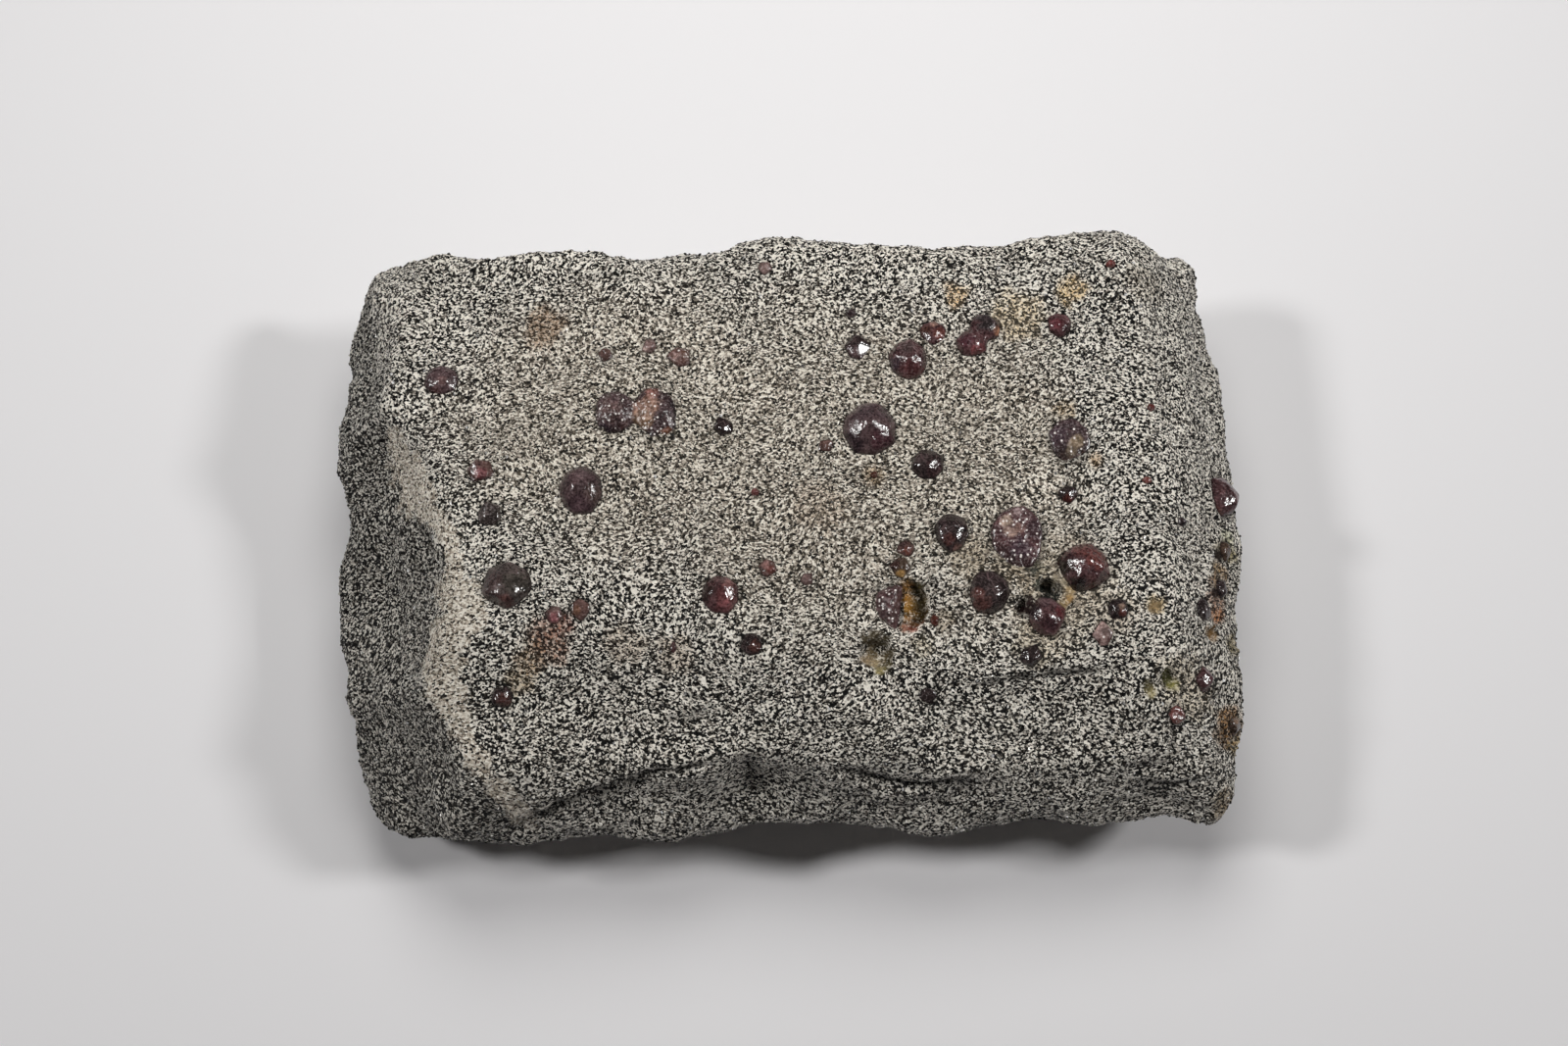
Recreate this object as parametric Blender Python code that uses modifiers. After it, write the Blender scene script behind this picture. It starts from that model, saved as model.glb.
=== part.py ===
"""Garnet in matrix: a hammer-trimmed block of garnet schist with its almandine crystals.

The block lies on its flat underside, long side along X, front (the undercut, ledged side)
towards -Y. Origin: centre of the footprint, on the ground. Run with
blender --background --python part.py, or from Blender's text editor.
"""
import math
import random

import bmesh
import bpy
from mathutils import Euler, Vector, noise
from mathutils.bvhtree import BVHTree

MM = 0.001

# ---- driving dimensions, in millimetres -------------------------------------------------
LENGTH = 121.0            # rim to rim along X
DEPTH = 81.0              # rim to rim along Y
PLATEAU = 27.0            # height of the top surface above the ground
RIM = 16.0                # height at which the left, right and front sides bulge furthest out
UNDERSIDE = -1.6          # the rough underside before the flat it rests on is cut
VOXEL = 1.25              # size of the lumps that the carving is made of
STONE_TRIANGLES = 3000    # the carved block, before its sockets are cut
GAP = 0.3                 # clearance between a crystal and its socket
LAYER = 3.2               # thickness of the layers that the sides split along
SPLIT = 1.9               # how unevenly the layers end
CHIP = 0.9                # depth of the small chips on the sides

# The widest outline of the block, seen from above, anticlockwise from the front left corner.
# Each point is the tip or the bottom of one hammer scallop.
FRONT_EDGE = [(-55.6, -39.8), (-44.0, -41.0), (-32.0, -40.3), (-20.0, -39.8), (-8.7, -39.5),
              (-3.8, -38.2), (0.5, -37.3), (6.0, -38.3), (11.3, -37.6), (15.5, -38.8),
              (21.0, -39.2), (28.8, -38.0), (35.0, -37.6), (45.0, -37.4), (54.4, -38.0)]
RIGHT_EDGE = [(57.2, -36.4), (58.4, -31.5), (59.8, -24.0), (60.3, -12.0), (60.3, 0.0),
              (60.2, 8.3), (59.0, 14.5), (59.2, 21.0), (58.4, 27.0), (57.6, 32.5)]
BACK_EDGE = [(56.2, 38.2), (53.2, 40.8), (48.6, 41.2), (41.1, 40.8), (34.4, 40.1),
             (28.5, 39.8), (23.5, 38.8), (14.0, 39.6), (6.5, 39.9), (-2.6, 40.6),
             (-9.3, 39.0), (-15.8, 37.9), (-21.1, 37.0), (-27.7, 38.0), (-38.0, 38.4),
             (-49.0, 38.4), (-55.0, 39.6)]
LEFT_EDGE = [(-57.3, 35.0), (-60.4, 27.4), (-60.7, 23.6), (-59.4, 20.2), (-61.3, 13.4),
             (-60.7, 8.5), (-59.4, 1.0), (-60.0, -6.8), (-59.2, -19.0), (-58.8, -29.0),
             (-57.6, -36.0)]

# How far each side draws in: from the rim down to the ground, and from the rim up to the top.
# (side, rim height, draw-in at the ground, draw-in at the top, curve of the upper slope)
TAPERS = {
    "front": (RIM, 8.5, 6.5, 1.5),
    "back": (24.0, 5.0, 0.3, 1.0),
    "left": (RIM - 1.0, 7.0, 2.0, 1.2),
    "right": (RIM - 1.0, 7.5, 11.5, 1.6),
}
TAPER_REACH_X = (18.0, LENGTH / 2)   # the draw-in fades out towards the middle of the block
TAPER_REACH_Y = (8.0, DEPTH / 2)

# Large conchoidal scars: (name, a point on the upper lip, a point on the lower lip, radius).
# Each is a sphere through both points whose hollow side faces out.
SCARS = [
    ("left_scar_front", (-42.5, -28.0, 27.0), (-59.0, -27.0, 9.5), 50.0),
    ("left_scar_middle", (-43.0, -6.0, 27.0), (-60.6, -4.0, 12.0), 44.0),
    ("left_scar_back", (-53.2, 17.0, 26.0), (-61.5, 15.0, 16.0), 28.0),
    ("corner_scar", (-52.0, 34.0, 26.0), (-61.0, 41.0, 19.0), 60.0),
    ("right_scar", (52.5, 27.0, 26.5), (60.5, 24.0, 18.0), 22.0),
    ("front_scar_left", (-6.0, -33.8, 25.0), (1.0, -40.0, 14.0), 16.0),
    ("front_scar_right", (37.0, -35.5, 23.5), (40.0, -40.5, 14.5), 24.0),
    ("back_scar_left", (-24.0, 37.4, 23.0), (-23.0, 33.0, 3.0), 34.0),
    ("back_scar_right", (15.0, 38.8, 24.0), (14.0, 34.0, 4.0), 26.0),
    ("under_scar_front", (20.0, -37.0, 6.0), (16.0, -20.0, -2.5), 34.0),
    ("under_scar_right", (55.0, 6.0, 6.0), (40.0, 4.0, -2.5), 30.0),
    ("under_scar_back", (-34.0, 36.0, 7.0), (-32.0, 20.0, -2.5), 32.0),
]

# Steps on the top where a layer of the schist has split away: the stone in front of the line
# lies lower. (points from left to right, drop, width of the step)
LEDGES = [
    ([(-46.0, -40.5), (-32.0, -38.2), (-24.6, -35.6), (-18.4, -33.6), (-12.2, -32.6), (-3.0, -31.0)],
     2.2, 1.3),
    ([(-3.0, -31.0), (7.5, -33.2), (18.5, -34.7), (24.0, -33.3)], 2.6, 1.5),
    ([(19.7, -22.6), (28.3, -21.6), (38.5, -20.4)], 0.9, 1.6),
    ([(40.0, -37.2), (52.0, -35.8), (57.0, -34.5)], 2.4, 1.4),
]

# Soft swellings and hollows of the top: (x, y, radius along x, radius along y, height)
SWELLINGS = [
    (10.0, -28.6, 10.5, 4.2, 1.7),      # bright lump behind the front ledge
    (34.0, -8.0, 16.0, 10.0, 0.7),      # raised ground around the cluster of crystals
    (16.0, 22.0, 14.0, 8.0, 0.6),
    (-20.0, 13.0, 12.0, 9.0, 0.6),
    (48.0, 35.0, 13.0, 9.0, 1.3),       # the high back right corner
    (-14.0, -24.0, 22.0, 6.0, -1.1),    # trough along the front
    (34.0, -28.0, 18.0, 5.0, -1.2),
    (-44.0, 30.0, 12.0, 12.0, -1.8),    # the top falls away towards the back left corner
    (-59.0, 39.0, 9.0, 9.0, -4.5),
    (0.0, 30.0, 20.0, 6.0, -0.5),
    (-34.0, -15.0, 7.0, 7.0, 0.6),
]

# ---- crystals ----------------------------------------------------------------------------
# Where a crystal is looked for: straight down on the top, straight up on the underside, or
# level from one side. A place is then two coordinates across that direction.
FROM_TOP, FROM_BELOW, FROM_FRONT, FROM_BACK, FROM_LEFT = "top", "below", "front", "back", "left"

# (name, side, across, along, width, rise): across and along are x and y on the top and the
# underside, x and z on the front and back, y and z on the left side. Rise is how far the
# crystal stands out of the stone.
WHOLE_CRYSTALS = [
    ("garnet_01", FROM_TOP, -45.1, 18.7, 3.9, 1.2),
    ("garnet_02", FROM_TOP, -39.4, 6.2, 2.6, 0.7),
    ("garnet_03", FROM_TOP, -37.9, 0.3, 2.7, 0.9),
    ("garnet_04", FROM_TOP, -26.3, 3.5, 5.9, 2.0),
    ("garnet_05", FROM_TOP, -35.3, -9.5, 5.8, 2.0),
    ("garnet_07", FROM_TOP, -7.9, 12.1, 2.5, 0.9),
    ("garnet_08", FROM_TOP, -13.8, 22.1, 2.6, 0.8),
    ("garnet_09", FROM_TOP, -17.8, 23.6, 2.0, 0.6),
    ("garnet_10", FROM_TOP, -8.1, -10.4, 4.6, 1.7),
    ("garnet_11", FROM_TOP, -2.1, -7.0, 2.1, 0.7),
    ("garnet_12", FROM_TOP, -4.1, -16.9, 2.8, 1.0),
    ("garnet_13", FROM_TOP, -35.4, -23.7, 2.6, 0.9),
    ("garnet_15", FROM_TOP, -29.1, -13.3, 1.9, 0.6),
    ("garnet_16", FROM_TOP, -2.6, 35.1, 1.9, 0.6),
    ("garnet_17", FROM_TOP, 9.7, 23.3, 3.1, 1.0),
    ("garnet_18", FROM_TOP, 16.4, 21.5, 5.5, 2.0),
    ("garnet_19", FROM_TOP, 19.7, 25.3, 3.3, 1.1),
    ("garnet_21", FROM_TOP, 36.5, 26.4, 3.6, 1.2),
    ("garnet_22", FROM_TOP, 11.1, 11.8, 7.0, 2.5),
    ("garnet_23", FROM_TOP, 18.6, 7.0, 3.8, 1.4),
    ("garnet_25", FROM_TOP, 36.7, 2.8, 2.3, 0.8),
    ("garnet_26", FROM_TOP, 21.5, -2.4, 4.4, 1.6),
    ("garnet_28", FROM_TOP, 37.9, -7.0, 6.2, 2.3),
    ("garnet_29", FROM_TOP, 26.2, -10.0, 5.5, 1.6),
    ("garnet_30", FROM_TOP, 33.2, -13.1, 4.6, 1.7),
    ("garnet_31", FROM_TOP, 15.6, -4.6, 1.8, 0.6),
    ("garnet_32", FROM_TOP, 14.9, -7.0, 2.3, 0.7),
    ("garnet_34", FROM_TOP, 31.1, -18.5, 2.2, 0.7),
    ("garnet_35", FROM_TOP, 42.3, -12.6, 2.6, 0.9),
    ("garnet_37", FROM_TOP, 57.9, 3.7, 3.7, 1.5),
    ("garnet_38", FROM_TOP, 57.6, -2.4, 2.0, 0.6),
    ("garnet_39", FROM_TOP, 56.9, -7.8, 2.2, 0.6),
    ("garnet_40", FROM_TOP, 53.7, -11.5, 2.3, 0.6),
    ("garnet_41", FROM_TOP, 53.5, -20.6, 2.3, 0.7),
    ("garnet_43", FROM_TOP, 57.9, -25.6, 2.6, 0.7),
    ("garnet_44", FROM_TOP, 5.5, 9.5, 1.8, 0.5),
    ("garnet_46", FROM_TOP, 2.9, -8.5, 1.7, 0.5),
    ("garnet_48", FROM_BACK, -30.0, 15.0, 4.8, 1.7),
    ("garnet_49", FROM_BACK, 8.0, 19.0, 3.6, 1.2),
    ("garnet_50", FROM_BACK, 36.0, 11.0, 5.6, 1.9),
    ("garnet_51", FROM_LEFT, 12.0, 10.0, 3.4, 1.1),
    ("garnet_52", FROM_FRONT, -25.0, 8.0, 4.2, 1.4),
    ("garnet_53", FROM_FRONT, 31.0, 7.0, 3.2, 1.0),
]

# Crystals broken off level with the stone: (name, side, across, along, width, tilt), where
# tilt is the lean of the break in degrees.
FLUSH_CRYSTALS = [
    ("garnet_14", FROM_TOP, -25.9, -12.5, 2.7, 6.0),
    ("garnet_24", FROM_TOP, 37.2, 10.3, 5.8, 5.0),
    ("garnet_27", FROM_TOP, 30.1, -2.3, 7.0, 4.0),
    ("garnet_36", FROM_TOP, 40.3, -15.9, 2.7, 8.0),
    ("garnet_42", FROM_TOP, 50.0, -25.2, 1.9, 6.0),
    ("garnet_45", FROM_TOP, 18.0, -23.6, 2.2, 4.0),
    ("garnet_47", FROM_TOP, -23.6, 22.3, 1.8, 5.0),
    ("garnet_54", FROM_BACK, -6.0, 9.0, 5.0, 5.0),
    ("garnet_55", FROM_BELOW, -24.0, 10.0, 6.0, 0.0),
    ("garnet_56", FROM_BELOW, 20.0, -12.0, 4.6, 0.0),
    ("garnet_57", FROM_BELOW, 6.0, 16.0, 3.4, 0.0),
]

# Crystals grown together, one solid each: (name, [(x, y, width, rise), ...])
PAIR = ("garnet_pair", [(-22.0, 13.9, 5.5, 1.3), (-17.1, 13.8, 7.5, 1.1)])
TWIN = ("garnet_twin", [(26.5, 26.0, 3.9, 1.4), (24.9, 23.9, 4.0, 1.4)])

# The crystal that lost its right-hand part: (name, x, y, width, rise, lean of the break)
SPLIT_CRYSTAL = ("garnet_split", 15.0, -12.1, 6.8, 1.4, 62.0)
SPLIT_KEEPS = 0.35        # how far right of the crystal's middle the break lies, in mm

# Sockets that lost their crystal, and hollows beside crystals: (x, y, width, depth)
EMPTY_SOCKETS = [(11.6, -18.0, 4.1, 1.9), (47.0, -12.6, 1.8, 0.7), (48.5, -21.8, 2.6, 1.2),
                 (45.7, -22.9, 1.8, 0.8), (33.8, -9.9, 3.0, 1.3), (30.4, -12.2, 2.4, 1.2),
                 (34.3, -6.0, 2.6, 1.2), (55.2, -14.4, 1.8, 0.8)]


# ---- scene and helpers -------------------------------------------------------------------
def clear_scene():
    for scene_object in list(bpy.data.objects):
        bpy.data.objects.remove(scene_object)


def new_collection(name):
    collection = bpy.data.collections.new(name)
    bpy.context.scene.collection.children.link(collection)
    return collection


def material(name, colour, roughness):
    surface = bpy.data.materials.new(name)
    surface.use_nodes = True
    shader = surface.node_tree.nodes["Principled BSDF"]
    shader.inputs["Base Color"].default_value = (*colour, 1.0)
    shader.inputs["Roughness"].default_value = roughness
    shader.inputs["Metallic"].default_value = 0.0
    return surface


def object_from_bmesh(shape, name, collection):
    mesh = bpy.data.meshes.new(name)
    shape.to_mesh(mesh)
    shape.free()
    made = bpy.data.objects.new(name, mesh)
    collection.objects.link(made)
    return made


def as_cutter(cutter):
    cutter.hide_render = True
    cutter.display_type = "WIRE"
    return cutter


def evaluated_bmesh(source):
    """The object's mesh after its modifiers, as a bmesh in metres."""
    graph = bpy.context.evaluated_depsgraph_get()
    mesh = bpy.data.meshes.new_from_object(source.evaluated_get(graph))
    shape = bmesh.new()
    shape.from_mesh(mesh)
    bpy.data.meshes.remove(mesh)
    return shape


def smoothstep(low, high, value):
    t = min(max((value - low) / (high - low), 0.0), 1.0)
    return t * t * (3.0 - 2.0 * t)


def remesh(target, size):
    modifier = target.modifiers.new("lumps", "REMESH")
    modifier.mode = "VOXEL"
    modifier.voxel_size = size * MM


# ---- the block ---------------------------------------------------------------------------
def outline_block(collection):
    """The scalloped outline as a closed curve, as thick as the block."""
    points = FRONT_EDGE + RIGHT_EDGE + BACK_EDGE + LEFT_EDGE
    curve = bpy.data.curves.new("outline", "CURVE")
    curve.dimensions = "2D"
    curve.fill_mode = "BOTH"
    curve.resolution_u = 3
    curve.extrude = (PLATEAU - UNDERSIDE) / 2 * MM
    spline = curve.splines.new("BEZIER")
    spline.bezier_points.add(len(points) - 1)
    for knot, (x, y) in zip(spline.bezier_points, points):
        knot.co = (x * MM, y * MM, 0.0)
        knot.handle_left_type = "AUTO"
        knot.handle_right_type = "AUTO"
    spline.use_cyclic_u = True
    drawn = bpy.data.objects.new("outline", curve)
    collection.objects.link(drawn)
    bpy.context.view_layer.update()
    shape = evaluated_bmesh(drawn)
    bpy.data.objects.remove(drawn)
    bmesh.ops.remove_doubles(shape, verts=shape.verts, dist=0.01 * MM)
    bmesh.ops.translate(shape, verts=shape.verts, vec=(0, 0, (PLATEAU + UNDERSIDE) / 2 * MM))
    return object_from_bmesh(shape, "block", collection)


def draw_in(side, z):
    """How far a side lies inside the rim at height z."""
    rim, at_ground, at_top, curve = TAPERS[side]
    if z < rim:
        return at_ground * (max(rim - z, 0.0) / rim) ** 1.3
    return at_top * ((z - rim) / (PLATEAU - rim)) ** curve


def taper(shape):
    """Draw the sides in below and above the rim, fading out towards the middle."""
    for vertex in shape.verts:
        x, y, z = vertex.co / MM
        height = max(z, 0.0)
        side_x = "right" if x > 0 else "left"
        side_y = "back" if y > 0 else "front"
        x -= math.copysign(draw_in(side_x, height) * smoothstep(*TAPER_REACH_X, abs(x)), x)
        y -= math.copysign(draw_in(side_y, height) * smoothstep(*TAPER_REACH_Y, abs(y)), y)
        vertex.co = Vector((x, y, z)) * MM


def scar_cutter(name, upper, lower, radius, collection):
    """A sphere through both lips of the scar, centred outside the stone."""
    upper, lower = Vector(upper), Vector(lower)
    middle = (upper + lower) / 2
    chord = upper - lower
    outward = Vector((middle.x, middle.y * LENGTH / DEPTH, 0.0)).normalized()
    across = chord.cross(outward.cross(Vector((0.0, 0.0, 1.0)))).normalized()
    if across.dot(outward) < 0:
        across.negate()
    reach = math.sqrt(radius ** 2 - (chord.length / 2) ** 2)
    shape = bmesh.new()
    bmesh.ops.create_icosphere(shape, subdivisions=4, radius=radius * MM)
    bmesh.ops.translate(shape, verts=shape.verts, vec=(middle + across * reach) * MM)
    return as_cutter(object_from_bmesh(shape, name, collection))


def distance_in_front(x, y, points):
    """Distance in front of (below, in plan) a line that runs from left to right, and a
    weight that fades to 0 past its ends."""
    for (x0, y0), (x1, y1) in zip(points, points[1:]):
        if x0 <= x <= x1:
            line_y = y0 + (y1 - y0) * (x - x0) / (x1 - x0)
            return line_y - y, 1.0
    if x < points[0][0]:
        return points[0][1] - y, 1.0 - smoothstep(0.0, 6.0, points[0][0] - x)
    return points[-1][1] - y, 1.0 - smoothstep(0.0, 6.0, x - points[-1][0])


def top_relief(x, y):
    """Height of the top surface above or below the plateau."""
    relief = 0.7 * noise.noise(Vector((x / 23.0, y / 23.0, 3.1)))
    relief += 0.4 * noise.noise(Vector((x / 8.0, y / 6.0, 8.7)))
    for cx, cy, rx, ry, height in SWELLINGS:
        relief += height * math.exp(-((x - cx) / rx) ** 2 - ((y - cy) / ry) ** 2)
    for points, drop, width in LEDGES:
        gap, weight = distance_in_front(x, y, points)
        relief -= drop * weight * smoothstep(0.0, width, gap) * (1.0 - smoothstep(4.0, 16.0, gap))
    relief -= 1.0 * smoothstep(-18.0, -30.0, y)
    return relief


def underside_relief(x, y):
    return 2.6 * noise.noise(Vector((x / 17.0, y / 14.0, 15.2)))


def split_layers(x, y, z):
    """The sides break along the layers of the schist: each layer ends a little further in or
    out than the next one."""
    layer = math.floor(z / LAYER + 0.9 * noise.noise(Vector((x / 22.0, y / 22.0, 5.5))))
    return SPLIT * noise.noise(Vector((x / 11.0, y / 11.0, layer * 1.73)))


def carve(shape):
    """Relief of the top, hollows of the underside, and the split layers of the sides."""
    for vertex in shape.verts:
        x, y, z = vertex.co / MM
        z += top_relief(x, y) * smoothstep(RIM, PLATEAU - 2.0, z)
        z += underside_relief(x, y) * (1.0 - smoothstep(UNDERSIDE, 6.0, z))
        vertex.co = Vector((x, y, z)) * MM
    shape.normal_update()
    moves = []
    for vertex in shape.verts:
        x, y, z = vertex.co / MM
        level = 1.0 - abs(vertex.normal.z) ** 2
        chips = CHIP * noise.noise(Vector((x / 6.5, y / 6.5, z / 4.5)))
        moves.append(vertex.normal * (split_layers(x, y, z) + chips) * level * MM)
    for vertex, move in zip(shape.verts, moves):
        vertex.co += move


def stone(parts, cutters):
    """The carved block: outline, taper, scars, relief, then thinned to flat chips."""
    block = outline_block(cutters)
    remesh(block, VOXEL)
    bpy.context.view_layer.update()
    tapered = evaluated_bmesh(block)
    bpy.data.objects.remove(block)
    taper(tapered)
    blank = object_from_bmesh(tapered, "blank", cutters)
    scars = new_collection("scars")
    for name, upper, lower, radius in SCARS:
        scar_cutter(name, upper, lower, radius, scars)
    chipping = blank.modifiers.new("scars", "BOOLEAN")
    chipping.operand_type = "COLLECTION"
    chipping.collection = scars
    chipping.solver = "EXACT"
    remesh(blank, VOXEL)
    bpy.context.view_layer.update()
    carved = evaluated_bmesh(blank)
    bpy.data.objects.remove(blank)
    carve(carved)
    tree = BVHTree.FromBMesh(carved)
    bmesh.ops.triangulate(carved, faces=carved.faces)
    triangles = len(carved.faces)
    matrix = object_from_bmesh(carved, "matrix", parts)
    thinning = matrix.modifiers.new("chips", "DECIMATE")
    thinning.ratio = STONE_TRIANGLES / triangles
    return matrix, tree


# ---- crystals ----------------------------------------------------------------------------
def form_corners(corner):
    """All the corners of a cubic crystal form that are like the given one."""
    a, b, c = corner
    corners = set()
    for order in {(a, b, c), (a, c, b), (b, a, c), (b, c, a), (c, a, b), (c, b, a)}:
        for signs in range(8):
            corners.add(tuple((v if signs >> k & 1 else -v) + 0.0 for k, v in enumerate(order)))
    return [Vector(found) for found in sorted(corners)]


# Corners of the two garnet forms whose faces all lie at distance 1 from the middle.
RHOMBS = form_corners((math.sqrt(2), 0, 0)) + form_corners((math.sqrt(0.5),) * 3)
KITES = (form_corners((math.sqrt(1.5), 0, 0)) + form_corners((math.sqrt(2 / 3),) * 2 + (0,))
         + form_corners((math.sqrt(0.375),) * 3))
FACES_TO_WIDTH = 0.93     # a form's faces lie this much nearer its middle than half its width
ROUND_FROM = 3.0          # crystals wider than this have the rounder form, with kites


def slice_off(shape, normal, distance):
    """Cut away what lies beyond a plane and close the cut with one face."""
    geometry = shape.verts[:] + shape.edges[:] + shape.faces[:]
    cut = bmesh.ops.bisect_plane(shape, geom=geometry, plane_co=normal * distance,
                                 plane_no=normal, clear_outer=True)
    edges = [g for g in cut["geom_cut"] if isinstance(g, bmesh.types.BMEdge)]
    if len(edges) > 2:
        bmesh.ops.contextual_create(shape, geom=edges)


def crystal(width, seed, extra=0.0):
    """A garnet about as wide as asked, a little uneven, turned at random. The same seed with
    some extra is its socket: the same faces, that much further out."""
    luck = random.Random(seed)
    to_faces = (width / 2 * FACES_TO_WIDTH + extra) * MM
    shape = bmesh.new()
    for corner in KITES if width > ROUND_FROM else RHOMBS:
        shape.verts.new(corner * to_faces)
    bmesh.ops.convex_hull(shape, input=shape.verts)
    growth = [luck.uniform(0.94, 1.04) for _ in range(3)]
    turn = Euler([luck.uniform(0, math.tau) for _ in range(3)]).to_matrix()
    bmesh.ops.scale(shape, verts=shape.verts, vec=growth)
    bmesh.ops.rotate(shape, verts=shape.verts, matrix=turn)
    bmesh.ops.recalc_face_normals(shape, faces=shape.faces)
    return shape


def look_at_stone(tree, side, across, along):
    """The point of the stone's surface that a side's two coordinates name, and its normal."""
    far = 200.0
    start, way = {
        FROM_TOP: ((across, along, far), (0, 0, -1)),
        FROM_BELOW: ((across, along, -far), (0, 0, 1)),
        FROM_FRONT: ((across, -far, along), (0, 1, 0)),
        FROM_BACK: ((across, far, along), (0, -1, 0)),
        FROM_LEFT: ((-far, across, along), (1, 0, 0)),
    }[side]
    point, normal, _, _ = tree.ray_cast(Vector(start) * MM, Vector(way))
    if side == FROM_BELOW:
        return Vector((across, along, 0.0)), Vector((0.0, 0.0, -1.0))
    return point / MM, (normal - Vector(way)).normalized()


def set_in(shape, centre):
    bmesh.ops.translate(shape, verts=shape.verts, vec=centre * MM)
    return shape


def add_crystal(name, shape, parts, surface):
    bmesh.ops.triangulate(shape, faces=shape.faces)
    made = object_from_bmesh(shape, name, parts)
    made.data.materials.append(surface)
    return made


def whole_crystals(tree, parts, sockets, surface):
    for seed, (name, side, across, along, width, rise) in enumerate(WHOLE_CRYSTALS, start=100):
        point, normal = look_at_stone(tree, side, across, along)
        centre = point - normal * (width / 2 - rise)
        add_crystal(name, set_in(crystal(width, seed), centre), parts, surface)
        socket = object_from_bmesh(set_in(crystal(width, seed, GAP), centre),
                                   "socket_" + name, sockets)
        as_cutter(socket)


def flush_crystals(tree, parts, sockets, surface):
    for seed, (name, side, across, along, width, tilt) in enumerate(FLUSH_CRYSTALS, start=300):
        point, normal = look_at_stone(tree, side, across, along)
        centre = point - normal * (width * 0.08)
        lean = Euler((math.radians(tilt), math.radians(tilt / 2), 0.0)).to_matrix()
        broken = crystal(width, seed)
        proud = 0.0 if side == FROM_BELOW else 0.15
        slice_off(broken, (lean @ normal).normalized(), (width * 0.08 + proud) * MM)
        add_crystal(name, set_in(broken, centre), parts, surface)
        socket = set_in(crystal(width, seed, GAP), centre)
        as_cutter(object_from_bmesh(socket, "socket_" + name, sockets))


def joined(shapes, name, collection, use="UNION"):
    """One solid from two crystals grown together."""
    first, second = [object_from_bmesh(shape, name, collection) for shape in shapes]
    union = first.modifiers.new("grown together", "BOOLEAN")
    union.operation = use
    union.object = second
    union.solver = "EXACT"
    bpy.context.view_layer.update()
    shape = evaluated_bmesh(first)
    for used in (first, second):
        bpy.data.objects.remove(used)
    return shape


def grown_together(entry, seed, tree, parts, sockets, surface):
    name, members = entry
    solids, moulds = [], []
    for k, (x, y, width, rise) in enumerate(members):
        point, normal = look_at_stone(tree, FROM_TOP, x, y)
        centre = point - normal * (width / 2 - rise)
        solids.append(set_in(crystal(width, seed + k), centre))
        moulds.append(set_in(crystal(width, seed + k, GAP), centre))
    add_crystal(name, joined(solids, name, sockets), parts, surface)
    mould = joined(moulds, name, sockets)
    as_cutter(object_from_bmesh(mould, "socket_" + name, sockets))


def split_crystal(seed, tree, parts, sockets, surface):
    name, x, y, width, rise, lean = SPLIT_CRYSTAL
    point, normal = look_at_stone(tree, FROM_TOP, x, y)
    centre = point - normal * (width / 2 - rise)
    kept = crystal(width, seed)
    angle = math.radians(lean)
    break_normal = Vector((math.sin(angle), -0.15, math.cos(angle))).normalized()
    slice_off(kept, break_normal, SPLIT_KEEPS * MM)
    add_crystal(name, set_in(kept, centre), parts, surface)
    socket = set_in(crystal(width, seed, GAP), centre)
    as_cutter(object_from_bmesh(socket, "socket_" + name, sockets))


def empty_sockets(tree, sockets):
    for seed, (x, y, width, depth) in enumerate(EMPTY_SOCKETS, start=500):
        point, normal = look_at_stone(tree, FROM_TOP, x, y)
        centre = point + normal * (width / 2 - depth)
        as_cutter(object_from_bmesh(set_in(crystal(width, seed), centre),
                                    f"empty_socket_{seed - 499}", sockets))


def ground_cutter(sockets):
    """A slab whose top is the ground: it cuts the flat that the stone rests on."""
    shape = bmesh.new()
    bmesh.ops.create_cube(shape, size=1.0)
    bmesh.ops.scale(shape, verts=shape.verts, vec=(0.2, 0.2, 0.01))
    bmesh.ops.translate(shape, verts=shape.verts, vec=(0, 0, -0.005))
    return as_cutter(object_from_bmesh(shape, "ground", sockets))


def build():
    clear_scene()
    parts = new_collection("garnet_in_matrix")
    sockets = new_collection("cutters")
    schist = material("schist", (0.22, 0.21, 0.19), 0.8)
    almandine = material("almandine", (0.06, 0.012, 0.014), 0.2)
    matrix, tree = stone(parts, sockets)
    matrix.data.materials.append(schist)
    whole_crystals(tree, parts, sockets, almandine)
    flush_crystals(tree, parts, sockets, almandine)
    grown_together(PAIR, 601, tree, parts, sockets, almandine)
    grown_together(TWIN, 611, tree, parts, sockets, almandine)
    split_crystal(621, tree, parts, sockets, almandine)
    empty_sockets(tree, sockets)
    ground_cutter(sockets)
    cutting = matrix.modifiers.new("sockets", "BOOLEAN")
    cutting.operand_type = "COLLECTION"
    cutting.collection = sockets
    cutting.solver = "EXACT"


build()
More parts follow.
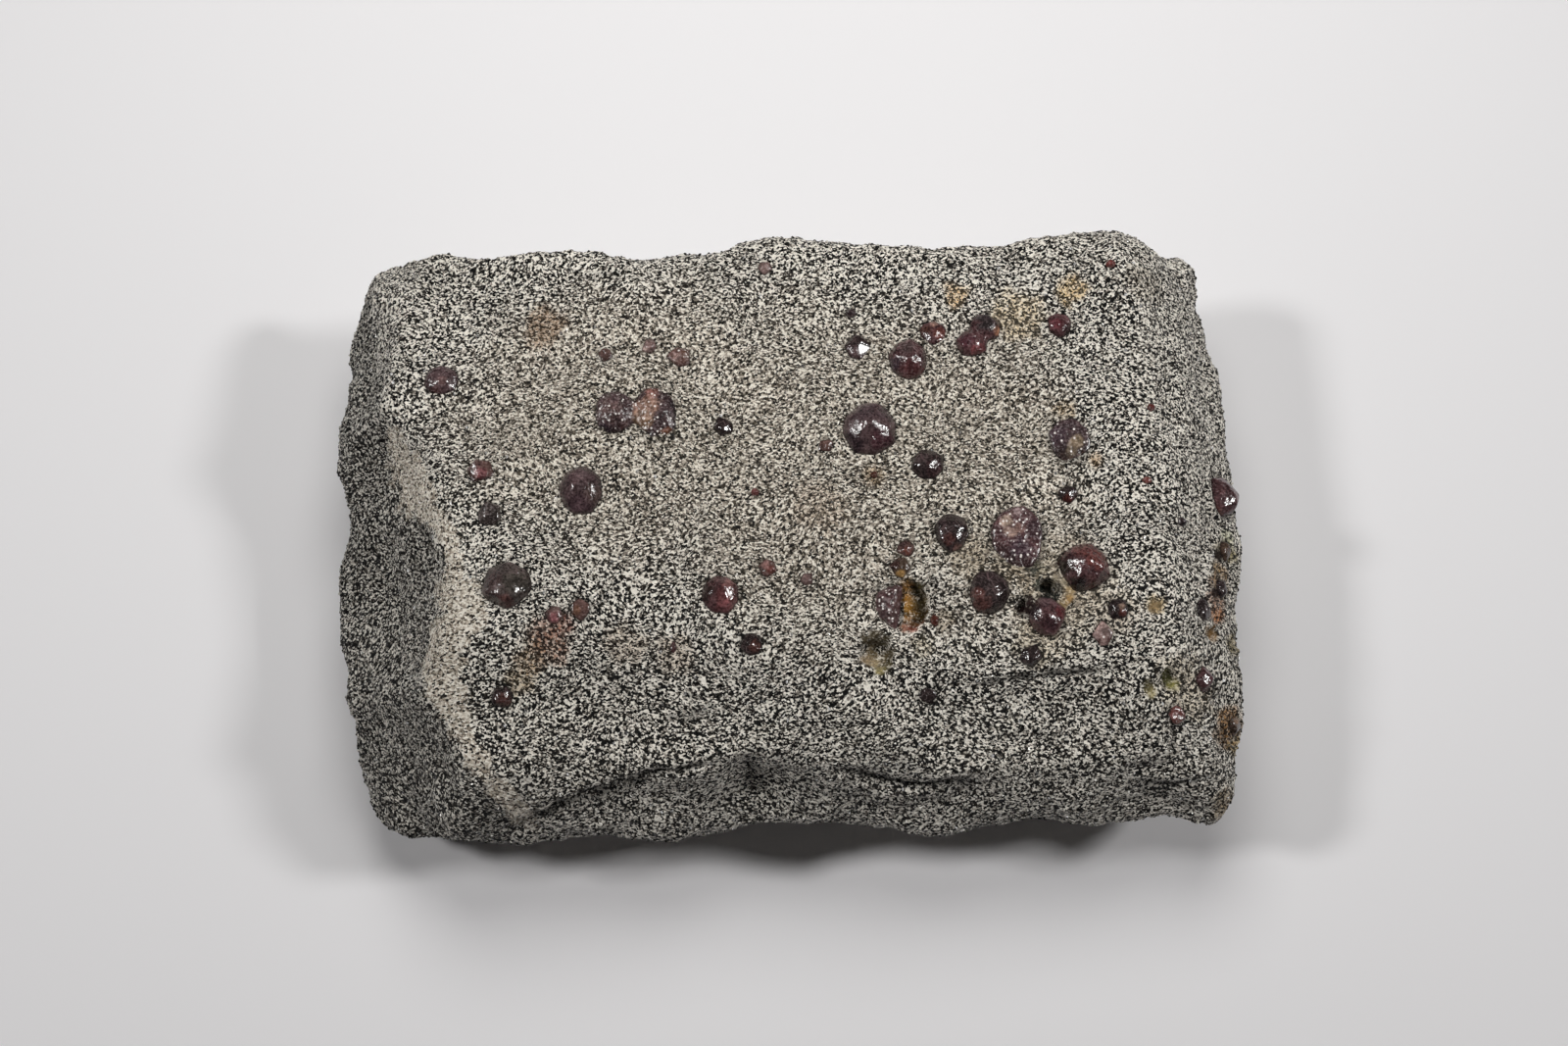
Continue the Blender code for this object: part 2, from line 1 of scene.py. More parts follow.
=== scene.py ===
# %% [markdown]
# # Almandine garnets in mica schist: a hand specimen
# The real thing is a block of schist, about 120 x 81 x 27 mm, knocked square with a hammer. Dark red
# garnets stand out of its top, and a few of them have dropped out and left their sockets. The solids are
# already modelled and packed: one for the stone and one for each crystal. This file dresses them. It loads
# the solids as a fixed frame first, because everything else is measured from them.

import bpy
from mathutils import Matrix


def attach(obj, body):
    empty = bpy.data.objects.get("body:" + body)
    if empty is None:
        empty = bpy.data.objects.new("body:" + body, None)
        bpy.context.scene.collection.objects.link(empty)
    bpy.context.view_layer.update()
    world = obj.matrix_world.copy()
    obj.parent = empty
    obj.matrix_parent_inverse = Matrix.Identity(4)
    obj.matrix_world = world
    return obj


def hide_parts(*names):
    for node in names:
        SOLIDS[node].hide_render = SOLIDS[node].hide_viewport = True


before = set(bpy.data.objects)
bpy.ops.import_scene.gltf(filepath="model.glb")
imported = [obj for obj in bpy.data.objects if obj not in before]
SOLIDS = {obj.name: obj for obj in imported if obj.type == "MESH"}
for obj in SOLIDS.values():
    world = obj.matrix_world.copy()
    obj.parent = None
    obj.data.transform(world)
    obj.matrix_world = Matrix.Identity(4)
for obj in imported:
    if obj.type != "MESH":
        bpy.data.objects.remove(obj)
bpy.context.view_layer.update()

import math
import random

import bmesh
import bpy
import numpy as np
from mathutils import Euler, Vector, noise
from mathutils.bvhtree import BVHTree

MM = 0.001
CRYSTALS = sorted(name for name in SOLIDS if name.startswith("garnet"))

# %% [markdown]
# ## Meshes as tables
# A mesh can be handed over as a table of numbers with one row for each vertex. That is far quicker than
# asking for one vertex after another, and a sum on a whole table reads like a sum on one number. Tables are
# in millimetres here, and meshes in metres.


# %% Meshes as tables
def smoothstep(low, high, value):
    """0 below low, 1 above high and an even curve between them, for numbers and tables alike."""
    t = np.clip((value - low) / (high - low), 0.0, 1.0)
    return t * t * (3.0 - 2.0 * t)


def corners(mesh):
    """The vertices as a table, one row each."""
    table = np.empty(len(mesh.vertices) * 3)
    mesh.vertices.foreach_get("co", table)
    return table.reshape(-1, 3) / MM


def directions(mesh):
    """The vertex normals as a table."""
    table = np.empty(len(mesh.vertices) * 3, np.float32)
    mesh.vertex_normals.foreach_get("vector", table)
    return table.reshape(-1, 3).astype(float)


def edges_of(mesh):
    """The two vertex numbers of every edge."""
    table = np.empty(len(mesh.edges) * 2, int)
    mesh.edges.foreach_get("vertices", table)
    return table.reshape(-1, 2)


def move_corners(mesh, table):
    mesh.vertices.foreach_set("co", (table * MM).ravel())
    mesh.update()


print("the stone's solid comes with", len(corners(SOLIDS["matrix"].data)), "vertices")

# %% [markdown]
# ## Shapes and objects
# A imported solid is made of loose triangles, so a copy of it has its doubled vertices merged before it is
# shaped. Each piece of this model starts in a bmesh, and what a modifier makes of it becomes its plain mesh.
# A voxel remesh is the way to clay: it melts whatever overlaps into one even, closed net.


# %% Shapes and objects
def merged_copy(solid_name):
    shape = bmesh.new()
    shape.from_mesh(SOLIDS[solid_name].data)
    bmesh.ops.remove_doubles(shape, verts=shape.verts, dist=1e-6)
    bmesh.ops.recalc_face_normals(shape, faces=shape.faces)
    return shape


def middle_of(shape):
    return sum((v.co for v in shape.verts), Vector()) / len(shape.verts)


def rows_of(shape):
    """A bmesh's vertices as a table."""
    return np.array([v.co for v in shape.verts]) / MM


def new_object(name, shape):
    """An object from a bmesh, which is used up."""
    mesh = bpy.data.meshes.new(name)
    shape.to_mesh(mesh)
    shape.free()
    made = bpy.data.objects.new(name, mesh)
    bpy.context.scene.collection.objects.link(made)
    return made


def apply_modifiers(piece):
    """The piece keeps its evaluated mesh as a plain one, and its modifiers go."""
    graph = bpy.context.evaluated_depsgraph_get()
    finished = bpy.data.meshes.new_from_object(piece.evaluated_get(graph))
    piece.modifiers.clear()
    piece.data = finished


def remesh(piece, spacing):
    """An even net over the piece, with that many mm between its vertices."""
    net = piece.modifiers.new("net", "REMESH")
    net.mode, net.voxel_size = "VOXEL", spacing * MM
    apply_modifiers(piece)


stone_shape = merged_copy("matrix")
crystal_shapes = {name: merged_copy(name) for name in CRYSTALS}
print("the stone has", len(stone_shape.verts), "vertices once they are merged")

# %% [markdown]
# ## The stone's skin
# A crystal solid sits in its socket with 0.3 mm to spare, and the stone's solid has broad flat triangles.
# On the real block the stone grips every crystal, and its broken face is rough down to single grains. So
# each socket is stopped with a plug, which is the crystal's own shape swollen past the gap, and then the
# whole is remeshed. The plugs go in first because the remesh melts them and the stone into one skin. A
# crystal bulges over the seat that it was cut for, so it is widened before its plug is made.

# %% Plug the sockets and remesh the stone
SKIN_NET = 0.57       # mm between the vertices of the stone's skin
PLUG = 0.5            # mm that a plug is thicker all round than its crystal
# how much wider across and along a crystal is than its seat, by the end of its name
WIDER = {
    "01": (1.45, 1.3), "02": (1.5, 1.4), "03": (1.22, 1.32), "04": (1.08, 1.26), "05": (1.22, 1.14),
    "pair": (1.12, 1.3), "07": (1.12, 1.1), "08": (1.28, 1.22), "09": (1.0, 1.3), "10": (1.12, 1.16),
    "11": (1.22, 1.2), "12": (1.06, 1.06), "13": (1.14, 1.1), "14": (0.9, 1.1), "15": (1.25, 1.35),
    "16": (1.12, 1.12), "17": (1.28, 1.38), "18": (1.06, 1.17), "19": (1.24, 1.2), "twin": (1.16, 1.08),
    "21": (1.08, 1.2), "22": (1.17, 1.24), "23": (1.24, 1.2), "24": (0.94, 1.06), "25": (1.1, 1.12),
    "26": (1.15, 1.32), "27": (1.04, 1.22), "28": (1.1, 1.12), "29": (1.12, 1.26), "30": (1.06, 1.16),
    "31": (1.5, 1.5), "32": (1.25, 1.25), "split": (1.25, 1.08), "34": (1.45, 1.4), "35": (1.14, 1.14),
    "36": (0.82, 1.18), "37": (1.6, 1.6), "38": (1.5, 1.5), "39": (1.2, 1.25), "40": (1.3, 1.3),
    "41": (1.28, 1.32), "42": (1.1, 1.2), "44": (1.3, 1.2), "46": (1.15, 1.2),
}
# how far a crystal's middle lies from its seat's, in mm
MOVED = {
    "27": (-0.3, -0.9, 0.8), "37": (0.0, 1.3, 0.5), "42": (-0.4, -0.4, 0.75), "45": (0.0, 0.0, 0.15),
    "24": (0.0, 0.0, 0.1), "pair": (0.1, 0.2, 0.15), "01": (-0.15, 0.3, 0.0), "29": (-0.1, -0.2, 0.1),
    "30": (0.1, -0.4, 0.1), "28": (0.3, 0.0, 0.1),
}


def short(name):
    """A crystal's own part of its solid's name, such as 07 or pair."""
    return name.removeprefix("garnet_")


for name, shape in crystal_shapes.items():
    middle = middle_of(shape)
    spread = Vector((*WIDER.get(short(name), (1.0, 1.0)), 1.0))
    step = Vector(MOVED.get(short(name), (0.0, 0.0, 0.0))) * MM
    for vertex in shape.verts:
        vertex.co = middle + (vertex.co - middle) * spread + step
    shape.normal_update()
    plug = {vertex: stone_shape.verts.new(vertex.co + (vertex.co - middle).normalized() * PLUG * MM)
            for vertex in shape.verts}
    for face in shape.faces:
        stone_shape.faces.new([plug[vertex] for vertex in face.verts])
stone = new_object("schist_block", stone_shape)
remesh(stone, SKIN_NET)
skin, facing, edges = corners(stone.data), directions(stone.data), edges_of(stone.data)
print("stone skin:", len(skin), "vertices")

# %% [markdown]
# ## How near each vertex is to a crystal
# The nearest crystal and the distance to its surface are worth knowing for every vertex of the skin. They
# say where a plug is, where the stone has to hold still, and later where the thin line of painted shade
# round a crystal runs. A tree of the crystal's faces finds the nearest spot quickly.

# %% Find the nearest crystal
REACH, FAR = 2.4, 9.0     # mm round a crystal that are searched, and what stands for further away

nearest = np.full(len(skin), FAR)
owner = np.full(len(skin), -1)
for number, name in enumerate(CRYSTALS):
    tree = BVHTree.FromBMesh(crystal_shapes[name])
    own = rows_of(crystal_shapes[name])
    close = np.where(((skin > own.min(0) - REACH) & (skin < own.max(0) + REACH)).all(1))[0]
    for index in close:
        point = Vector(skin[index]) * MM
        spot, normal, _, distance = tree.find_nearest(point)
        distance /= -MM if (point - spot).dot(normal) < 0 else MM
        if distance < nearest[index]:
            nearest[index], owner[index] = distance, number
print(int((nearest < 0).sum()), "vertices lie inside a crystal")

# %% [markdown]
# ## Where the stone meets the crystals
# The plugs left a bump over every crystal. For each one, the stone just outside it is taken as a tilted
# plane, and the bump is pressed down on to that plane, and a little further under the crystal itself, so
# that the edge of the stone is hidden inside it. The plane also says which way each crystal faces.

# %% Press the plugs down to the level of the stone
CAP = PLUG + 0.15                     # mm from a crystal, within which the skin is its plug
RING = (0.8, 2.3)                     # mm from it, between which the skin is the stone round it
SINK, SINK_RAMP = 0.5, (0.35, -0.3)   # mm that the stone dips under it, and between which distances

outward, level = {}, {}
for number, name in enumerate(CRYSTALS):
    ring = np.where((owner == number) & (nearest > RING[0]) & (nearest < RING[1]))[0]
    normal = facing[ring].mean(0)
    normal /= np.linalg.norm(normal)
    outward[name], level[name] = normal, skin[ring].mean(0)
    cap = np.where((owner == number) & (nearest < CAP))[0]
    height = (skin[cap] - level[name]) @ normal
    skin[cap] -= np.outer(height + SINK * smoothstep(*SINK_RAMP, nearest[cap]), normal)
print("facing of the largest crystal:", outward["garnet_22"].round(2))

# %% [markdown]
# ## Noise, smoothing and distances
# Stone is uneven at every size, and noise summed over a few octaves is uneven in the same way. Sharp edges
# go when each vertex moves towards its neighbours. Sockets are spots, and cracks and crushed edges follow
# lines, so the distance to a spot and to a line are needed as well.


# %% Noise, smoothing and distances
def noise_field(points, size, octaves=2, seed=0.0):
    """Smooth noise from about -1 to 1, with bumps of that size in millimetres."""
    shift = Vector((seed * 17.3, seed * 7.1, seed * 3.7))
    return np.array([noise.fractal(Vector(p) / size + shift, 1.0, 2.0, octaves) for p in points])


def smooth(points, edges, rounds, hold=None):
    """Moves each vertex half way to its neighbours' middle, some rounds over, except where it is held."""
    first, second = edges.T
    count = np.bincount(edges.ravel(), minlength=len(points))[:, None]
    share = 0.5 if hold is None else 0.5 * (1.0 - hold)[:, None]
    for _ in range(rounds):
        total = np.zeros_like(points)
        np.add.at(total, first, points[second])
        np.add.at(total, second, points[first])
        points = points + share * (total / count - points)
    return points


def apart(points, x, y):
    """Distance from each point to a spot, in mm seen from above."""
    return np.hypot(points[:, 0] - x, points[:, 1] - y)


def along(points, line):
    """Distance across, in mm seen from above, from each point to a line, and how far along it, 0 to 1."""
    best, place = np.full(len(points), np.inf), np.zeros(len(points))
    for step, (start, end) in enumerate(zip(line, line[1:])):
        a, b = np.array(start), np.array(end)
        t = np.clip((points[:, :2] - a) @ (b - a) / ((b - a) @ (b - a)), 0, 1)
        gap = np.linalg.norm(points[:, :2] - a - t[:, None] * (b - a), axis=1)
        place = np.where(gap < best, (step + t) / (len(line) - 1), place)
        best = np.minimum(best, gap)
    return best, place


print("noise at three vertices:", noise_field(skin[:3], 7.0).round(2))

# %% [markdown]
# ## Smooth first, then break the rim
# The edges of the big triangles of the solid have to go before anything finer is put on the skin. Where it
# grips a crystal it is held still. The hammer took the rim off in bites, and a few of them reach further in
# or less far than the solid's.

# %% Smooth the skin and break its rim
HELD = (1.6, 0.6)     # mm from a crystal: free beyond the first, held still within the second
ROUNDS = 9            # of smoothing
# places where the rim breaks further out or in: x, y, radius in mm, and the move in x and y
RIM_MOVES = [
    (-60.9, 12.5, 5.0, 0.5, 0.0), (-59.2, -1.6, 8.0, -0.9, 0.0), (-58.4, -21.6, 8.0, 1.5, 0.0),
    (60.2, 24.7, 5.0, 0.9, 0.0), (60.8, 12.6, 8.0, 1.2, 0.0), (60.8, -6.0, 8.0, 0.5, 0.0),
    (60.0, -25.2, 6.0, -0.9, 0.0), (-34.0, 38.4, 8.0, 0.0, 1.1), (55.4, 38.6, 5.0, 1.8, 1.3),
]
held = smoothstep(*HELD, nearest)
skin = smooth(skin, edges, ROUNDS, held)
for x, y, radius, step_x, step_y in RIM_MOVES:
    share = smoothstep(1.0, 0.0, apart(skin, x, y) / radius) * (1.0 - held)
    skin[:, :2] += share[:, None] * np.array([step_x, step_y])
move_corners(stone.data, skin)
facing = directions(stone.data)
print("the skin reaches from", skin.min(0).round(2), "to", skin.max(0).round(2), "mm")

# %% [markdown]
# ## The shape of the broken stone
# Three things shape the skin of a hammered schist. Old weathering leaves the top softly uneven. The sides
# are chipped into small shell-shaped hollows, and they split in thin layers, because the mica flakes lie
# flat in the rock. Each is a height in millimetres that moves a vertex along its own normal, so they can
# simply be added. A layer rises slowly and ends in a step, as a saw tooth does.

# %% Lumps, grit, chips and layers
LUMP, GRIT, CHIP, LAYER, BEND = 7.0, 1.5, 3.1, 1.5, 9.0    # mm, the size of each and of a layer's bends
CHIP_MEAN, LAYER_MEAN = 0.45, 0.5                          # so that neither swells nor shrinks the stone

upright = smoothstep(0.82, 0.35, facing[:, 2])       # 1 on the sides and below, 0 on the top
free = 1.0 - smoothstep(1.3, 0.5, nearest)           # 0 at a crystal, so that the stone still grips it


def top_to_side(top, side):
    """A height in mm that is one thing on the top and another on the sides."""
    return top + (side - top) * upright


lumps = noise_field(skin, LUMP, 3, 1)
grit = noise_field(skin, GRIT, 2, 2)
chips = np.array([noise.voronoi(Vector(p) / CHIP + Vector(w) * 0.3)[0][0]
                  for p, w in zip(skin, np.column_stack([lumps, grit, lumps]))])
saw = (skin[:, 2] + 0.9 * noise_field(skin * (1, 1, 0.25), BEND, 2, 3)) / LAYER
saw -= np.floor(saw)
layers = smoothstep(0.0, 0.75, saw) * smoothstep(1.0, 0.86, saw)
rise = (lumps * top_to_side(0.18, 0.08) + grit * top_to_side(0.13, 0.26)
        + (chips - CHIP_MEAN) * top_to_side(0.0, 0.50) + (layers - LAYER_MEAN) * top_to_side(0.0, 0.24))
print("relief from", rise.min().round(2), "to", rise.max().round(2), "mm")

# %% [markdown]
# ## Empty sockets and cracks
# A crystal that dropped out leaves a round hollow. A crack is a narrow cut that fades at both ends, and the
# layer behind it stands a little higher than the one in front. Both are more heights on the same pile, and
# after them the skin is moved once. The painted shade in each crack has to be kept for the colour.

# %% Open the sockets and the cracks
# sockets that lost their crystal: x, y, half width and depth in mm
SOCKETS = [
    (11.6, -18.2, 2.0, 0.8), (47.0, -12.4, 0.9, 0.6), (48.7, -21.4, 1.3, 0.9), (45.9, -22.6, 0.9, 0.6),
    (33.8, -10.3, 1.6, 1.3), (30.9, -12.2, 1.35, 1.1), (35.8, -6.6, 1.2, 0.8), (55.2, -14.4, 0.9, 0.5),
    (17.1, -11.0, 1.1, 0.7), (17.1, -13.0, 1.0, 0.7), (57.2, -3.4, 0.9, 0.7), (56.2, -8.8, 0.8, 0.6),
]
# splits on the top, darkened with painted shade: points from left to right, depth in mm
CRACKS = [
    ([(-34.0, -38.6), (-29.0, -37.0), (-24.6, -35.7), (-18.4, -33.7), (-12.2, -32.7), (-8.0, -31.8)], 1.3),
    ([(6.0, -32.6), (12.0, -33.8), (18.3, -34.6), (23.6, -33.6)], 0.9),
    ([(24.0, -22.4), (28.3, -21.5), (33.0, -21.0), (38.0, -20.6), (43.0, -20.1)], 0.85),
    ([(-16.0, -26.4), (-12.5, -25.8), (-9.0, -25.6)], 0.5),
    ([(2.0, -27.2), (6.0, -27.6), (10.0, -27.0)], 0.45),
    ([(24.0, -29.2), (30.0, -28.0), (36.0, -28.4)], 0.45),
    ([(44.0, -33.4), (49.0, -34.0), (54.0, -33.0)], 0.8), ([(22.8, -5.6), (25.6, -6.4), (28.0, -6.2)], 0.5),
    ([(-30.0, 33.2), (-24.0, 34.4), (-19.0, 34.0)], 0.45),
]
# the dark line in a crack is painted shade
CRACK_WIDTH, CRACK_SHADE_WIDTH = 0.5, 0.32   # mm, of the cut and of the dark line in it
LEDGE, LEDGE_FADE = 0.35, 1.6         # share of the depth that the back stands up, and mm it fades over

for x, y, half_width, depth in SOCKETS:
    gap = apart(skin, x, y) / half_width
    rise -= depth * smoothstep(1.15, 0.5, gap + 0.12 * grit) * (facing[:, 2] > 0.0)
crack = np.zeros(len(skin))
wobble = 0.3 * noise_field(skin, 2.2, 2, 4)
for line, depth in CRACKS:
    gap, place = along(skin, line)
    taper = np.sin(np.pi * np.clip(place, 0.04, 0.96)) ** 0.5 * (facing[:, 2] > 0.2)
    cut, painted_crack_shade = [np.exp(-((gap + wobble) / width) ** 2) * taper for width in (CRACK_WIDTH, CRACK_SHADE_WIDTH)]
    behind = np.sign(skin[:, 1] - np.interp(skin[:, 0], *np.array(line).T))
    rise += taper * depth * LEDGE * behind * np.exp(-gap / LEDGE_FADE) - cut * depth
    # the crack's painted shade, kept for the colour
    crack = np.maximum(crack, painted_crack_shade * min(1.0, depth))
skin = skin + facing * (rise * free)[:, None]
skin[:, 2] = np.maximum(skin[:, 2], 0.0)
move_corners(stone.data, skin)
facing = directions(stone.data)
print("stone rises from", skin.min(0).round(2), "to", skin.max(0).round(2), "mm")

# %% [markdown]
# ## Zones of the stone
# Its colour isn't the same all over. The top has weathered to a warm beige film that softens the contrast
# of the grains, and fresh breaks are cold black and white. The hammer crushed the upper left edge to pale
# powder. Iron has bled out of some garnets as rust and ochre, and the empty sockets are lined with it. A
# shader can't know any of that from a pattern, so each zone is a number for each vertex, built from a
# short list of places with soft, ragged edges.

# %% Where the stone is crushed, worn and freshly broken
# x, y and half width in mm along the pale crushed edge
CRUSHED_EDGE = [
    (-51.5, 12.4, 0.5), (-50.7, 9.6, 1.2), (-49.4, 6.2, 1.7), (-48.0, 3.5, 1.6), (-46.4, 1.3, 1.3),
    (-44.6, -0.8, 0.8), (-42.8, -3.9, 1.0), (-41.9, -6.5, 0.9), (-42.4, -9.1, 1.8), (-41.2, -11.7, 2.6),
    (-41.3, -14.3, 2.4), (-42.8, -16.3, 2.0), (-43.1, -18.8, 2.0), (-43.5, -20.8, 1.7), (-42.8, -23.3, 1.4),
    (-41.5, -25.2, 1.8), (-40.6, -27.1, 1.5), (-39.8, -29.6, 0.9), (-38.7, -31.5, 1.0), (-37.2, -33.3, 0.8),
    (-35.3, -35.2, 1.1), (-33.4, -37.3, 1.0), (-31.6, -39.0, 0.5),
]
# x, y and the two radii in mm of the weathered ground
WEATHERED = [
    (-20.0, 14.0, 26.0, 22.0), (8.0, 8.0, 28.0, 26.0), (27.0, 6.0, 15.0, 24.0), (33.5, -8.5, 9.0, 9.5),
]
# x and y in mm along the edge of the fresh break on the left, from the front
LEFT_BREAK = [
    (-34, -39), (-38.6, -33), (-41, -29), (-43.5, -25), (-45.6, -21), (-45.2, -16), (-44.2, -13),
    (-44.6, -10), (-43.2, -6), (-46, -1), (-49.8, 3), (-51.3, 6), (-52.2, 10), (-54, 18), (-56, 30),
    (-59, 42),
]

up, above = facing[:, 2], skin[:, 2]      # 1 where the skin faces up, and its height in mm
gap, place = along(skin, [(x, y) for x, y, _ in CRUSHED_EDGE])
band = 1.2 * np.interp(place, np.linspace(0, 1, len(CRUSHED_EDGE)), [w for _, _, w in CRUSHED_EDGE])
powder = noise_field(skin, 2.4, 3, 5)
crushed = smoothstep(1.2, 0.8, gap / band + 0.75 * powder + 0.5 * grit) * (up > -0.1)
crushed *= smoothstep(17.0, 20.0, above)

worn = np.zeros(len(skin))
bays = 0.16 * noise_field(skin, 12.0, 2, 6)
for x, y, across, deep in WEATHERED:
    reach = np.hypot((skin[:, 0] - x) / across, (skin[:, 1] - y) / deep)
    worn = np.maximum(worn, smoothstep(1.1, 0.55, reach + bays))
worn *= smoothstep(0.55, 0.9, up)

# the fresh breaks: all of the left side, dark for its fresh minerals and with painted shade as well,
# and painted shade on the slope towards the front, most where it lies level
edge_x = np.interp(skin[:, 1], [y for _, y in LEFT_BREAK], [x for x, _ in LEFT_BREAK])
left = smoothstep(0.9, -0.9, skin[:, 0] - edge_x + 0.8 * powder)
front_slope_shade = 0.45 * smoothstep(-13.0, -25.0, skin[:, 1] + 0.12 * skin[:, 0] + 3.0 * lumps)
break_and_painted_shade = np.maximum(left, front_slope_shade * (0.1 + 0.9 * smoothstep(0.45, 0.85, up)))
print("crushed on", int((crushed > 0.5).sum()), "and weathered on", int((worn > 0.5).sum()), "vertices")

# %% [markdown]
# ## Colours and soft spots
# A stain is a soft round spot with a ragged edge. Where spots meet, their colours mix by their strengths.
# Colours are written in sRGB hex, as a colour picker shows them, and one function turns them into the
# linear numbers that Blender's shaders work with.


# %% Colours and soft spots
def linear(colour):
    """An sRGB hex colour as linear numbers."""
    parts = [int(colour[i:i + 2], 16) / 255 for i in (1, 3, 5)]
    return [p / 12.92 if p <= 0.04045 else ((p + 0.055) / 1.055) ** 2.4 for p in parts] + [1.0]


def paint(points, spots, ragged, seed):
    """Colour and strength for each point from spots; ragged is the size in mm of their edges' bays."""
    colour, amount = np.zeros((len(points), 4)), np.zeros(len(points))
    total = np.full(len(points), 1e-6)
    rough = noise_field(points, ragged, 3, seed)
    for x, y, radius, tone, strength in spots:
        weight = smoothstep(1.15, 0.55, apart(points, x, y) / radius + 0.4 * rough) * strength
        colour += weight[:, None] * np.array(linear(tone))
        total += weight
        amount = np.maximum(amount, weight)
    return colour / total[:, None], amount


def store(mesh, **tables):
    """Keeps a number or a colour for every vertex under a name that a material can read."""
    for name, values in tables.items():
        kind, field = ("FLOAT", "value") if values.ndim == 1 else ("FLOAT_COLOR", "color")
        attribute = mesh.attributes.new(name, kind, "POINT")
        attribute.data.foreach_set(field, values.astype(np.float32).ravel())


print("middle grey is", round(linear("#808080")[0], 3), "in linear numbers")

# %% [markdown]
# ## Stains, linings and painted shade in hollows
# Iron and clay gather in hollows and round the crystals that rust. Stains lie on the rock itself, and
# linings on the floors of the sockets, where they cover it almost wholly; the near-black ones are painted
# shade in the deepest hollows. All the zones are then stored on the skin under their names, for the
# material and for the loose grains to read.

# %% Stain the stone, line its hollows and paint shade in the deepest
# stains on the rock: x, y, radius in mm, colour, strength
STAINS = [
    (-31.6, 26.8, 3.0, "#8a7058", 0.6), (-32.4, 24.6, 2.0, "#8f7660", 0.5),
    (31.2, 27.8, 4.0, "#b5a78c", 0.6), (23.1, 31.1, 2.2, "#b79f7c", 0.7), (38.3, 31.5, 2.4, "#b59f78", 0.7),
    (-29.7, -16.6, 3.3, "#8a6a5c", 0.75), (-31.8, -19.0, 2.6, "#8f7659", 0.65),
    (-28.0, -14.6, 1.8, "#7c5048", 0.7), (-33.0, -21.5, 2.2, "#95815f", 0.5),
    (-28.6, -18.6, 1.6, "#937566", 0.6), (-30.4, -14.8, 1.2, "#9a8078", 0.6),
    (15.8, -9.6, 1.2, "#a98145", 0.8), (20.4, -14.0, 1.6, "#83755e", 0.5),
    (17.6, -17.4, 1.6, "#948a6a", 0.35), (36.1, -10.0, 7.0, "#aea698", 0.5),
    (29.6, -6.6, 3.6, "#aea28e", 0.5), (41.6, -13.0, 3.6, "#a99d8e", 0.45),
    (32.2, -16.6, 3.6, "#aba08a", 0.45), (30.4, -7.6, 1.6, "#ab9b80", 0.55),
    (24.0, -5.6, 3.2, "#a59a88", 0.45), (11.7, 5.2, 1.6, "#947d5c", 0.5), (36.6, 14.6, 1.6, "#9a8460", 0.5),
    (40.6, 7.6, 1.2, "#a38660", 0.6), (58.4, -2.6, 1.8, "#8c8466", 0.8), (58.6, -0.8, 1.4, "#8b8f7c", 0.7),
    (57.0, -5.4, 1.4, "#947c5c", 0.8), (56.8, -7.4, 1.6, "#8a7056", 0.8), (56.0, -9.6, 1.8, "#8a7266", 0.8),
    (56.2, -11.6, 1.3, "#a0704c", 0.9), (59.0, -14.6, 1.8, "#857a58", 0.7),
    (57.4, -25.4, 2.4, "#8a6a48", 0.8), (56.4, -27.4, 1.8, "#6c5236", 0.8),
    (58.8, -28.4, 1.8, "#8f8058", 0.7), (56.6, -35.6, 2.2, "#806c4c", 0.6),
    (47.2, -12.0, 1.5, "#b0a080", 0.8), (51.0, -22.0, 4.4, "#a89c86", 0.4),
    (4.6, 1.0, 4.0, "#a8988a", 0.35), (32.3, -7.2, 1.3, "#4c554b", 0.95),
    (-20.0, -17.0, 3.0, "#a08e7c", 0.35), (-14.0, -18.0, 3.0, "#a08e7c", 0.35),
    (48.2, 33.0, 3.0, "#857b6a", 0.3),
]
